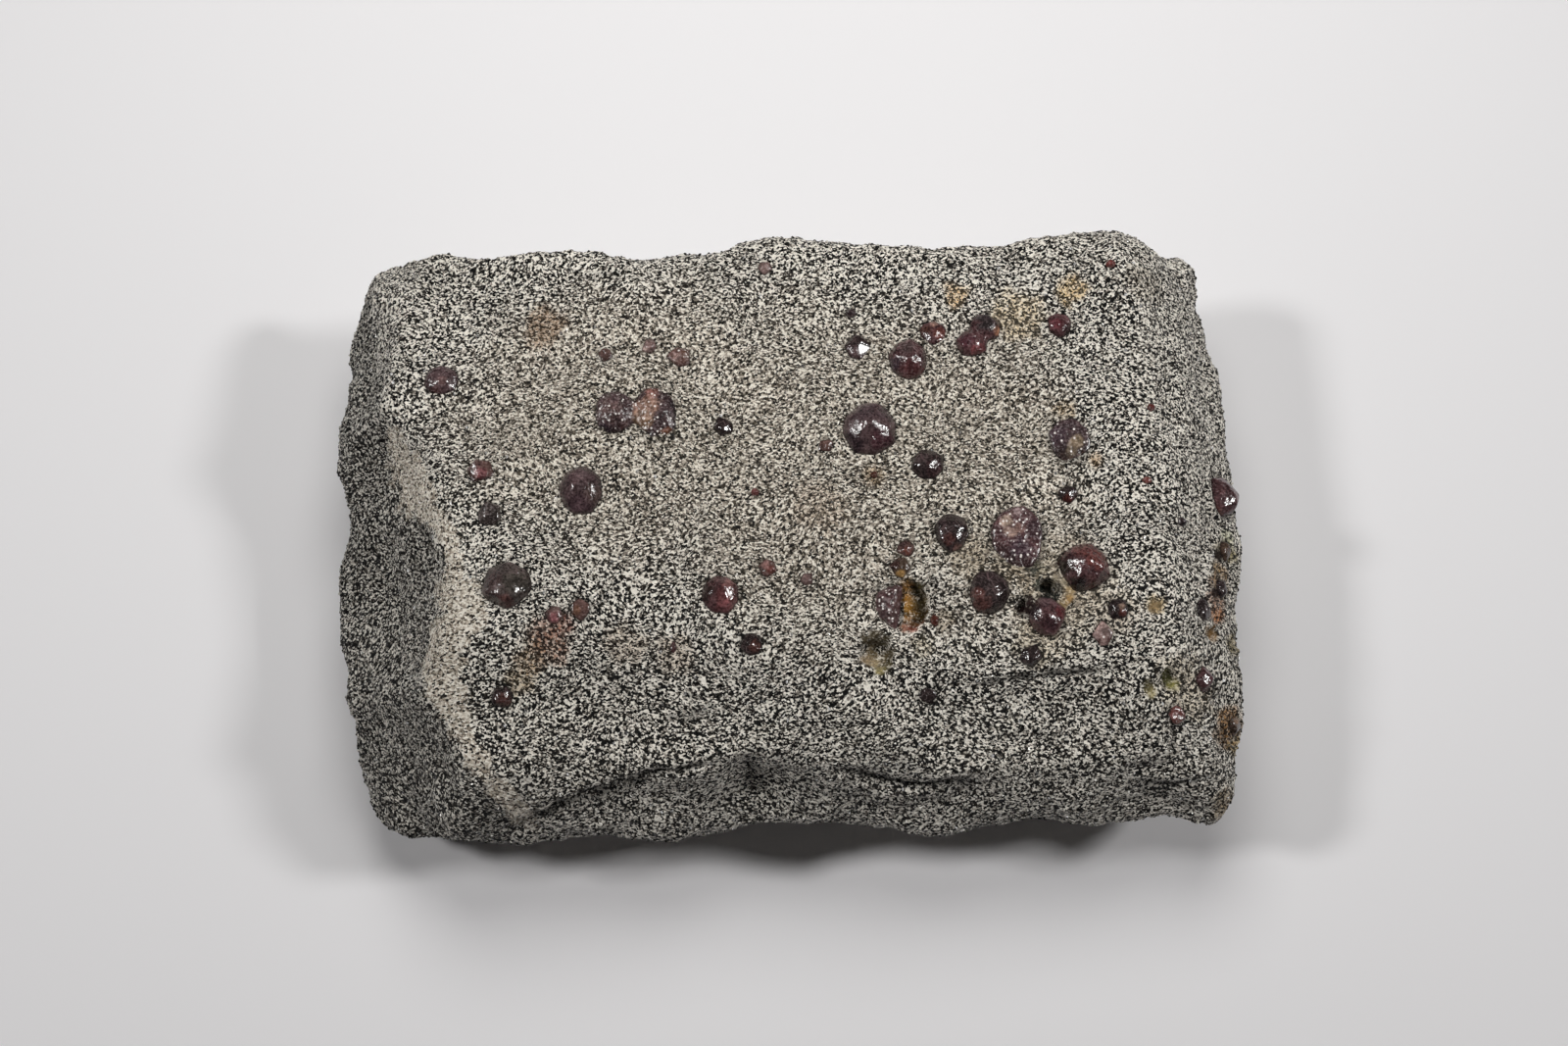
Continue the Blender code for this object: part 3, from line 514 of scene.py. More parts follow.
# the floors of sockets and hollows, in the same way; the near-black spots are painted shade in deep hollows
LININGS_AND_HOLLOW_SHADE = [
    (10.2, -16.4, 0.7, "#5a503c", 0.9), (11.5, -16.2, 0.9, "#5c523e", 1.0),
    (12.8, -16.6, 0.8, "#4c4432", 1.0), (13.2, -18.2, 0.8, "#574c36", 1.0),
    (13.1, -19.6, 0.6, "#5c5236", 0.9), (11.2, -17.8, 0.9, "#847458", 1.0),
    (10.5, -18.9, 0.9, "#b09a7c", 1.0), (11.6, -19.2, 0.9, "#b8a684", 1.0),
    (12.0, -20.3, 0.8, "#a09468", 1.0), (47.1, -12.2, 1.0, "#a8916c", 0.9),
    (48.4, -20.8, 0.9, "#5c5c38", 1.0), (49.2, -21.8, 0.9, "#908c50", 1.0),
    (45.9, -22.2, 0.8, "#6c6440", 0.9), (46.2, -23.0, 0.8, "#a89c74", 0.9),
    (33.0, -9.6, 0.9, "#343a34", 1.0), (34.1, -10.3, 1.5, "#181c19", 1.0),
    (33.2, -11.0, 1.0, "#201e1b", 1.0), (33.1, -9.9, 0.35, "#b5b0a6", 1.0),
    (32.2, -9.2, 0.6, "#66685c", 0.8), (30.9, -12.1, 1.5, "#28191a", 1.0),
    (35.8, -6.6, 1.2, "#352522", 1.0), (55.2, -14.4, 1.1, "#8a6c46", 0.9),
    (15.8, -9.6, 0.7, "#8a6434", 1.0), (15.8, -11.0, 0.8, "#b07c34", 1.0),
    (15.9, -12.3, 0.85, "#bc8836", 1.0), (16.0, -13.6, 0.8, "#a87434", 1.0),
    (17.0, -9.6, 0.8, "#4c4428", 1.0), (17.6, -11.0, 0.9, "#74684a", 1.0),
    (17.7, -12.5, 0.9, "#5c4a28", 1.0), (17.2, -13.8, 0.8, "#664430", 1.0),
    (16.3, -14.9, 0.8, "#b06c5c", 1.0), (15.3, -14.8, 0.7, "#b08068", 0.9),
    (57.2, -3.3, 0.9, "#2c221b", 1.0), (56.2, -8.7, 0.8, "#382c28", 1.0), (31.6, -7.7, 0.7, "#5c625a", 0.7),
    (35.7, -9.0, 0.7, "#d6c8ae", 1.0), (36.3, -10.1, 0.8, "#cbb288", 1.0),
    (36.3, -11.1, 0.7, "#b3905e", 1.0), (35.2, -12.2, 0.7, "#bca276", 0.9),
    (34.6, -8.6, 0.5, "#c9bca4", 0.8),
]

stain, stain_amount = paint(skin, STAINS, 1.6, 7)
lining_and_hollow_shade, lining_and_hollow_shade_amount = paint(skin, LININGS_AND_HOLLOW_SHADE, 0.9, 8)
ZONES = {
    "crushed": crushed, "worn": worn, "break_and_painted_shade": break_and_painted_shade, "crack": crack,
    "stain": stain, "stain_amount": stain_amount * smoothstep(8.0, 14.0, above),
    "lining_and_hollow_shade": lining_and_hollow_shade, "lining_and_hollow_shade_amount": lining_and_hollow_shade_amount * smoothstep(11.0, 14.0, above),
    # painted shade in a thin line where the stone meets each crystal
    "crystal_contact_shade": smoothstep(0.6, 0.1, nearest)}
store(stone.data, **ZONES)
print("the skin carries", ", ".join(ZONES))

# %% [markdown]
# ## Nodes made by one helper
# A material is a graph of nodes. Building it in text needs three things over and over: a new node, its
# settings, and a value or a link for each input. One function does all three, for the shaders here and
# for the Geometry Nodes further down. Patterns are sized in millimetres, and a texture's scale is how often
# it repeats in a metre.


# %% The node helper
def add(tree, kind, inputs=None, stops=None, **settings):
    """One node. Settings are its attributes. An input, by socket name or number, gets a value, an output,
    or a node, whose first live output is meant. Stops are a colour ramp's places and colours."""
    node = tree.nodes.new(kind)
    for name, value in settings.items():
        setattr(node, name, value)
    for name, value in (inputs or {}).items():
        if isinstance(value, bpy.types.Node):
            value = next(output for output in value.outputs if output.enabled)
        if isinstance(value, bpy.types.NodeSocket):
            tree.links.new(value, node.inputs[name])
        else:
            node.inputs[name].default_value = value
    if stops:
        ramp = node.color_ramp
        while len(ramp.elements) < len(stops):
            ramp.elements.new(1.0)
        for element, (place, colour) in zip(ramp.elements, stops):
            element.position, element.color = place, linear(colour)
    return node


def per(size):
    """A texture's scale for a pattern that repeats every so many millimetres."""
    return 1.0 / (size * MM)


def empty_material(name):
    surface = bpy.data.materials.new(name)
    surface.use_nodes = True
    surface.node_tree.nodes.clear()
    return surface, surface.node_tree


print("a pattern of 1 mm has scale", per(1.0))

# %% [markdown]
# ## One weathering and painted shade for every mineral
# The zones lie over all the minerals alike. Film and powder swap a grain's colour for a paler one. Iron
# tints it and leaves its light and dark alone, which is why a stain still looks like rock and not like
# paint, and neighbouring grains take it unevenly. Then come the painted shades: the fresh break on the
# left, which is partly its own dark minerals, the slope in front, the line round each crystal, and the
# cracks. One function does all this, so a loose grain matches the rock under it.

# %% Weather a mineral's colour and paint its shade
# a tint's strength, its colour, and how far it covers the grain
TINTS = [("stain_amount", "stain", 0.14), ("lining_and_hollow_shade_amount", "lining_and_hollow_shade", 0.82)]
# a painted shade's zone, its strength and its colour
SHADES = [("break_and_painted_shade", 0.26, "#5d6165"), ("crystal_contact_shade", 0.5, "#1d1916"), ("crack", 0.98, "#0a0909")]


def weathered_and_shaded(tree, fresh, filmed, crumbs, uneven):
    """The colour of a grain in its zone, painted shade included; uneven is the grain's own number from 0 to
    1.
    """
    zone = {name: add(tree, "ShaderNodeAttribute", attribute_name=name).outputs for name in ZONES}
    colour = add(tree, "ShaderNodeMix", {0: zone["worn"]["Fac"], 6: fresh, 7: filmed}, data_type="RGBA")
    # the powder takes whole grains, one sooner than the next
    taken = add(tree, "ShaderNodeMath", {0: uneven, 1: 0.6, 2: zone["crushed"]["Fac"]},
                operation="MULTIPLY_ADD")
    taken = add(tree, "ShaderNodeMapRange", {0: taken, 1: 0.60, 2: 0.90})
    colour = add(tree, "ShaderNodeMix", {0: taken, 6: colour, 7: crumbs}, data_type="RGBA")
    # a tint at middle grey leaves a grain as light as it is, so the product is doubled
    share = add(tree, "ShaderNodeMath", {0: uneven, 1: 0.75, 2: 0.6}, operation="MULTIPLY_ADD")
    for amount, tint, cover in TINTS:
        tinted = add(tree, "ShaderNodeVectorMath", {0: colour, 1: zone[tint]["Color"]}, operation="MULTIPLY")
        tinted = add(tree, "ShaderNodeVectorMath", {0: tinted, 3: 2.0}, operation="SCALE")
        tinted = add(tree, "ShaderNodeMix", {0: cover, 6: tinted, 7: zone[tint]["Color"]}, data_type="RGBA")
        taken = add(tree, "ShaderNodeMath", {0: zone[amount]["Fac"], 1: share}, operation="MULTIPLY",
                    use_clamp=True)
        colour = add(tree, "ShaderNodeMix", {0: taken, 6: colour, 7: tinted}, data_type="RGBA")
    # painted shade: darker on the left break and front slope, round each crystal and in the cracks
    for name, most, shade in SHADES:
        depth = add(tree, "ShaderNodeMath", {0: zone[name]["Fac"], 1: most}, operation="MULTIPLY")
        colour = add(tree, "ShaderNodeMix", {0: depth, 6: colour, 7: linear(shade)}, data_type="RGBA",
                     blend_type="MULTIPLY")
    return colour


print("weathering: film, powder,", len(TINTS), "tints and", len(SHADES), "shades")

# %% [markdown]
# ## Mica schist
# Quartz and feldspar give white and grey grains, and biotite gives near-black ones, about a quarter of a
# millimetre across and a little drawn out along the layers. A Voronoi texture is the natural choice, since
# its cells are grains: every cell has its own random colour, which picks the mineral, and a random tilt,
# which makes single flakes of mica glint. The coordinates are squeezed along the layers and disturbed
# first, so no cell shows a straight edge.

# %% The schist material
GRAIN = 0.23                          # mm, the grain of the rock
LAYER_TURN = math.radians(-14)        # the way the layers run across the top
GRAIN_STRETCH = (0.84, 1.06, 1.15)    # below 1 a grain is drawn out, above 1 it is squeezed


def schist_surface(name):
    """Hammer-dressed mica schist: matt and granular, with flakes of mica that glint one by one."""
    surface, tree = empty_material(name)
    place = add(tree, "ShaderNodeTexCoord").outputs["Object"]
    # broad bends of the layering, and a fine disturbance that breaks the cells' straight edges
    for size, push in ((13.0, (3.0, 5.0, 2.0)), (0.42, (0.22, 0.19, 0.19))):
        swirl = add(tree, "ShaderNodeTexNoise", {"Vector": place, "Scale": per(size), "Detail": 1.0})
        centred = add(tree, "ShaderNodeVectorMath", {0: swirl.outputs["Color"], 1: (0.5, 0.5, 0.5)},
                      operation="SUBTRACT")
        place = add(tree, "ShaderNodeVectorMath", {0: centred, 1: [p * MM for p in push], 2: place},
                    operation="MULTIPLY_ADD")
    drawn_out = add(tree, "ShaderNodeMapping", {
        "Vector": place, "Rotation": (0, 0, LAYER_TURN), "Scale": GRAIN_STRETCH})
    cells = add(tree, "ShaderNodeTexVoronoi", {"Vector": drawn_out, "Scale": per(GRAIN)})
    draws = add(tree, "ShaderNodeSeparateColor", {0: cells.outputs["Color"]}).outputs
    fine, clumps = [add(tree, "ShaderNodeTexNoise", {"Vector": drawn_out, "Scale": per(size), "Detail": 2.0})
                    for size in (0.22, 2.6)]

    # which mineral: the cell's own draw, nudged by finer noise and by clumps, and darker with painted shade
    # on the front slope and on the left break, which is also dark for its own minerals
    break_and_shade_share = add(tree, "ShaderNodeAttribute", attribute_name="break_and_painted_shade").outputs["Fac"]
    tone = -0.37
    for part, share in ((draws[0], 0.86), (fine, 0.66), (clumps, 0.18), (break_and_shade_share, -0.09)):
        tone = add(tree, "ShaderNodeMath", {0: part, 1: share, 2: tone}, operation="MULTIPLY_ADD")
    # a fresh break shows the minerals harder than a weathered face
    hard = add(tree, "ShaderNodeMath", {0: tone, 1: 1.50, 2: -0.268}, operation="MULTIPLY_ADD")
    fresh, filmed, crumbs = [
        add(tree, "ShaderNodeValToRGB", {0: choice}, stops=stops).outputs[0] for choice, stops in (
            (hard, [(0.22, "#060606"), (0.37, "#292623"), (0.46, "#6d675f"), (0.57, "#bcb4a9"),
                    (0.72, "#fdf7ed")]),
            (tone, [(0.18, "#141210"), (0.33, "#4c463e"), (0.44, "#867d72"), (0.58, "#beb4a7"),
                    (0.68, "#e4dacc"), (0.76, "#fdf6ea")]),
            (tone, [(0.16, "#1d1916"), (0.28, "#94887a"), (0.5, "#cfc4b5"), (0.70, "#fbf4e9")]))]
    colour = weathered_and_shaded(tree, fresh, filmed, crumbs, draws[2])

    # each cell is a little facet, tilted at random, above a fine grit
    tilt = add(tree, "ShaderNodeVectorMath", {0: cells.outputs["Color"], 1: (0.5, 0.5, 0.5)},
               operation="SUBTRACT")
    offset = add(tree, "ShaderNodeVectorMath", {0: drawn_out, 1: cells.outputs["Position"]},
                 operation="SUBTRACT")
    facet = add(tree, "ShaderNodeVectorMath", {0: tilt, 1: offset}, operation="DOT_PRODUCT")
    height = add(tree, "ShaderNodeMath", {0: fine, 1: 0.22 * MM, 2: facet}, operation="MULTIPLY_ADD")
    bump = add(tree, "ShaderNodeBump", {"Height": height, "Strength": 0.9, "Distance": 1.0})

    # mica cells are smooth, the rest matt
    mica = add(tree, "ShaderNodeMath", {0: draws[1], 1: 0.86}, operation="GREATER_THAN")
    rough = add(tree, "ShaderNodeMath", {0: mica, 1: -0.62, 2: 0.80}, operation="MULTIPLY_ADD")
    shader = add(tree, "ShaderNodeBsdfPrincipled", {
        "Base Color": colour, "Roughness": rough, "Normal": bump, "IOR": 1.54, "Specular IOR Level": 0.3})
    add(tree, "ShaderNodeOutputMaterial", {0: shader})
    return surface


def coat(piece, material):
    """The piece wears one material and is shaded smooth."""
    piece.data.materials.clear()
    piece.data.materials.append(material)
    piece.data.shade_smooth()


def triangles(piece):
    return sum(len(face.vertices) - 2 for face in piece.data.polygons)


coat(stone, schist_surface("mica_schist_hammer_dressed"))
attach(stone, "root")
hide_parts("matrix")
print("stone piece:", triangles(stone), "triangles")

# %% [markdown]
# ## Grains that stand out of the break
# A bump only tilts the light. Real grains stand out of a broken face, cast small shadows and roughen its
# outline. Quartz breaks into blunt lumps, and the hull of a few random points is one. Biotite and muscovite
# grow as six-sided plates, so theirs is a flat cone with six sides.


# %% The grain shapes
def lump(name, chance):
    """A blunt grain: the hull of a few points near a ball one unit across."""
    shape = bmesh.new()
    for _ in range(9):
        way = Vector([chance.gauss(0, 1) for _ in range(3)]).normalized()
        shape.verts.new(way * chance.uniform(0.42, 0.5))
    hull = bmesh.ops.convex_hull(shape, input=shape.verts)
    unused = [item for item in hull["geom_interior"] if isinstance(item, bmesh.types.BMVert)]
    bmesh.ops.delete(shape, geom=unused, context="VERTS")
    bmesh.ops.recalc_face_normals(shape, faces=shape.faces)
    return new_object(name, shape)


def plate(name, thickness):
    """A six-sided plate, one unit across."""
    shape = bmesh.new()
    bmesh.ops.create_cone(shape, cap_ends=True, segments=6, radius1=0.5, radius2=0.44, depth=thickness)
    return new_object(name, shape)


quartz_grain = lump("quartz_grain", random.Random(3))
biotite_flake, muscovite_flake = plate("biotite_flake", 0.5), plate("muscovite_flake", 0.35)
print("faces of a quartz grain:", len(quartz_grain.data.polygons))

# %% [markdown]
# ## Scattering them
# Geometry Nodes scatter many small things well, and one tree serves all three minerals. It spreads points
# at an even least distance, sinks each one into the stone, puts a turned and scaled grain there, gives it a
# random number for its tone, and turns the instances into real faces. The points carry the zones of the
# stone along, so every grain is weathered as the rock beneath it.

# %% The scatter tree
SCATTER_INPUTS = [("Stone", "Geometry"), ("Grain", "Object"), ("Spacing", "Float"), ("Density", "Float"),
                  ("Smallest", "Vector"), ("Largest", "Vector"), ("Lean", "Vector"), ("Sunk", "Float"),
                  ("Seed", "Int"), ("Finish", "Material")]


def scatter_tree(name):
    tree = bpy.data.node_groups.new(name, "GeometryNodeTree")
    for title, kind in SCATTER_INPUTS:
        tree.interface.new_socket(title, in_out="INPUT", socket_type="NodeSocket" + kind)
    tree.interface.new_socket("Grains", in_out="OUTPUT", socket_type="NodeSocketGeometry")
    given = add(tree, "NodeGroupInput").outputs
    seed = given["Seed"]
    bare = add(tree, "GeometryNodeInputNamedAttribute", {"Name": "bare"}, data_type="FLOAT")
    points = add(tree, "GeometryNodeDistributePointsOnFaces", {
        "Mesh": given["Stone"], "Distance Min": given["Spacing"], "Density Max": given["Density"],
        "Density Factor": bare, "Seed": seed}, distribute_method="POISSON")
    down = add(tree, "ShaderNodeVectorMath", {0: points.outputs["Normal"], 3: given["Sunk"]},
               operation="SCALE")
    sunk = add(tree, "GeometryNodeSetPosition", {"Geometry": points.outputs["Points"], "Offset": down})
    back = add(tree, "ShaderNodeVectorMath", {0: given["Lean"], 3: -1.0}, operation="SCALE")
    turn, size = [
        add(tree, "FunctionNodeRandomValue", {0: least, 1: most, "Seed": seed}, data_type="FLOAT_VECTOR")
        for least, most in ((back, given["Lean"]), (given["Smallest"], given["Largest"]))]
    grain = add(tree, "GeometryNodeObjectInfo", {"Object": given["Grain"]}).outputs["Geometry"]
    turned = add(tree, "FunctionNodeEulerToRotation", {0: turn})
    placed = add(tree, "GeometryNodeInstanceOnPoints", {
        "Points": sunk, "Instance": grain, "Rotation": turned, "Scale": size})
    number = add(tree, "FunctionNodeRandomValue", {2: 0.0, 3: 1.0, "Seed": seed}, data_type="FLOAT")
    toned = add(tree, "GeometryNodeStoreNamedAttribute", {
        "Geometry": placed, "Name": "tone", "Value": number}, data_type="FLOAT", domain="INSTANCE")
    real = add(tree, "GeometryNodeRealizeInstances", {"Geometry": toned})
    finished = add(tree, "GeometryNodeSetMaterial", {"Geometry": real, "Material": given["Finish"]})
    add(tree, "NodeGroupOutput", {"Grains": finished})
    return tree


scatter = scatter_tree("grains_on_the_break")
socket_of = {item.name: item.identifier for item in scatter.interface.items_tree if item.in_out == "INPUT"}
print("scatter tree:", len(scatter.nodes), "nodes")

# %% [markdown]
# ## Quartz, biotite and muscovite
# The three minerals differ in colour and gloss. Quartz is greyish white and glassy where it broke. Biotite
# is black mica and muscovite silvery mica, and both split along smooth planes, so they glint more than
# quartz does. Each has a dark and a pale end, and a grain's own number picks its place between them.


# %% The mineral finishes
def mineral_surface(name, fresh, filmed, crumbs, rough, index):
    """One mineral's grains: a fresh, a filmed and a crushed range of colours, from dark to pale."""
    surface, tree = empty_material(name)
    place = add(tree, "ShaderNodeTexCoord").outputs["Object"]
    own = add(tree, "ShaderNodeAttribute", attribute_name="tone").outputs["Fac"]
    flaw = add(tree, "ShaderNodeTexNoise", {"Vector": place, "Scale": per(0.2), "Detail": 2.0})
    tone = add(tree, "ShaderNodeMath", {0: flaw, 1: 0.9, 2: -0.45}, operation="MULTIPLY_ADD")
    tone = add(tree, "ShaderNodeMath", {0: tone, 1: own}, operation="ADD")
    ramps = [add(tree, "ShaderNodeValToRGB", {0: tone}, stops=[(0.1, pair[0]), (0.9, pair[1])]).outputs[0]
             for pair in (fresh, filmed, crumbs)]
    bump = add(tree, "ShaderNodeBump", {"Height": flaw, "Strength": 0.25, "Distance": 0.1 * MM})
    shader = add(tree, "ShaderNodeBsdfPrincipled", {
        "Base Color": weathered_and_shaded(tree, *ramps, own), "Roughness": rough, "Normal": bump, "IOR": index})
    add(tree, "ShaderNodeOutputMaterial", {0: shader})
    return surface


QUARTZ = mineral_surface("quartz_vitreous", ("#9a9791", "#fbf8f1"), ("#8b8477", "#d6cdbe"),
                         ("#a69b8b", "#dcd2c3"), 0.30, 1.54)
BIOTITE = mineral_surface("biotite_black_mica", ("#0d0c0b", "#2f2b27"), ("#2b2823", "#5a5348"),
                          ("#6f685b", "#a1998a"), 0.24, 1.60)
MUSCOVITE = mineral_surface("muscovite_silver_mica", ("#7f7c74", "#e4e1d8"), ("#7d766a", "#c6bdae"),
                            ("#8f8778", "#d2c9ba"), 0.12, 1.58)
print("finishes:", QUARTZ.name, BIOTITE.name, MUSCOVITE.name)

# %% [markdown]
# ## The grains on the stone
# No grain may grow on a crystal or under the block where it rests, and the powder and the linings bury
# some of them. One more number for each vertex says how bare the rock is, and the scatter follows it. The
# plates of mica keep nearer to the layers, and quartz lies any way round.

# %% Scatter the minerals
ANY_WAY, NEAR_FLAT = (3.1, 3.1, 3.1), (0.9, 0.9, 3.1)     # radians that a grain leans at most
CROWDING = 1.4        # points tried in a square of the spacing
FIRST_SEED = 11       # fixed, so that the grains fall the same way every time
MINERALS = [  # name, shape, finish, lean, spacing and depth sunk in mm, smallest and largest in mm
    ("quartz_grains", quartz_grain, QUARTZ, ANY_WAY, 0.74, 0.09,
     (0.36, 0.32, 0.30), (0.72, 0.60, 0.52)),
    ("biotite_flakes", biotite_flake, BIOTITE, NEAR_FLAT, 0.89, 0.05,
     (0.36, 0.32, 0.28), (0.74, 0.58, 0.50)),
    ("muscovite_flakes", muscovite_flake, MUSCOVITE, NEAR_FLAT, 0.90, 0.05,
     (0.32, 0.28, 0.25), (0.66, 0.50, 0.45)),
]
off_the_crystals, off_the_ground = smoothstep(0.25, 0.6, nearest), smoothstep(0.5, 1.6, skin[:, 2])
bare = off_the_crystals * off_the_ground * (0.35 + 0.65 * smoothstep(-0.8, -0.2, facing[:, 2]))
bare *= 1.0 - 0.55 * crushed - 0.5 * ZONES["lining_and_hollow_shade_amount"]
store(stone.data, bare=bare)

for number, (title, shape, finish, lean, spacing, sunk, smallest, largest) in enumerate(MINERALS):
    grains = bpy.data.objects.new(title, stone.data)
    bpy.context.scene.collection.objects.link(grains)
    modifier = grains.modifiers.new("scatter", "NODES")
    modifier.node_group = scatter
    inputs = {"Grain": shape, "Spacing": spacing * MM, "Density": CROWDING / (spacing * MM) ** 2,
              "Smallest": [s * MM for s in smallest], "Largest": [s * MM for s in largest], "Lean": lean,
              "Sunk": -sunk * MM, "Seed": FIRST_SEED + number, "Finish": finish}
    for name, value in inputs.items():
        modifier[socket_of[name]] = value
    apply_modifiers(grains)
    bpy.data.objects.remove(shape)
    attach(grains, "root")
    print(title + ":", triangles(grains), "triangles")

# %% [markdown]
# ## How each garnet looks
# No two crystals of a specimen are alike. Some are deep wine red and others nearly black, weathered ones
# are dusty, and broken ones are rough. A short row of words and numbers for each crystal says which it is,
# and a few soft patches give the larger ones their second and third colours; a few pale ones are painted
# highlights and glints.

# %% How each garnet looks
TONES = {"plum": "#574547", "smoke": "#4c4341", "wine": "#583d3f", "black": "#392f2f", "rust": "#6b514c",
         "rose": "#7c6461", "pink": "#d4b0aa", "brown": "#54443a"}
# by the end of its name: tone, dust from 0 to 1, roughness of the break in mm, flats that flash
LOOKS = {
    "01": ("plum", 0.3, 0.07, "r"), "02": ("rust", 0.3, 0.06, ""), "03": ("smoke", 0.35, 0.04, "rl"),
    "04": ("plum", 0.15, 0.05, "l"), "05": ("smoke", 0.1, 0.04, "l"), "pair": ("plum", 0.6, 0.3, ""),
    "07": ("black", 0.0, 0.01, "M"), "08": ("rust", 0.5, 0.09, "r"), "09": ("rose", 0.4, 0.09, "l"),
    "10": ("wine", 0.1, 0.04, "r"), "11": ("rust", 0.25, 0.07, "r"), "12": ("black", 0.1, 0.03, "R"),
    "13": ("black", 0.15, 0.04, "Rl"), "14": ("rust", 0.25, 0.08, ""), "15": ("rose", 0.25, 0.06, "r"),
    "16": ("rose", 0.3, 0.08, "r"), "17": ("black", 0.3, 0.04, "Mr"), "18": ("wine", 0.3, 0.05, "r"),
    "19": ("wine", 0.15, 0.05, "r"), "twin": ("wine", 0.2, 0.06, ""), "21": ("wine", 0.15, 0.05, "rl"),
    "22": ("plum", 0.15, 0.06, "l"), "23": ("black", 0.1, 0.06, ""), "24": ("plum", 0.52, 0.16, ""),
    "25": ("black", 0.1, 0.03, "r"), "26": ("black", 0.1, 0.06, "R"), "27": ("wine", 0.6, 0.28, ""),
    "28": ("wine", 0.15, 0.12, "l"), "29": ("black", 0.2, 0.04, ""), "30": ("wine", 0.2, 0.08, "r"),
    "31": ("rust", 0.15, 0.07, "r"), "32": ("brown", 0.2, 0.1, "r"), "split": ("wine", 0.72, 0.3, ""),
    "34": ("black", 0.2, 0.07, ""), "35": ("black", 0.15, 0.05, "R"), "36": ("pink", 0.45, 0.1, "r"),
    "37": ("wine", 0.25, 0.08, "Rl"), "38": ("brown", 0.1, 0.06, ""), "39": ("black", 0.15, 0.06, "l"),
    "40": ("black", 0.4, 0.08, "rl"), "41": ("wine", 0.1, 0.04, "r"), "42": ("rust", 0.3, 0.09, ""),
    "43": ("brown", 0.1, 0.06, "r"), "44": ("rust", 0.25, 0.08, ""), "45": ("black", 0.25, 0.08, ""),
    "46": ("rose", 0.2, 0.07, "r"), "47": ("rust", 0.2, 0.08, "r"),
}
COMMON_LOOK = ("wine", 0.15, 0.06, "r")        # the crystals at the back, the sides and underneath
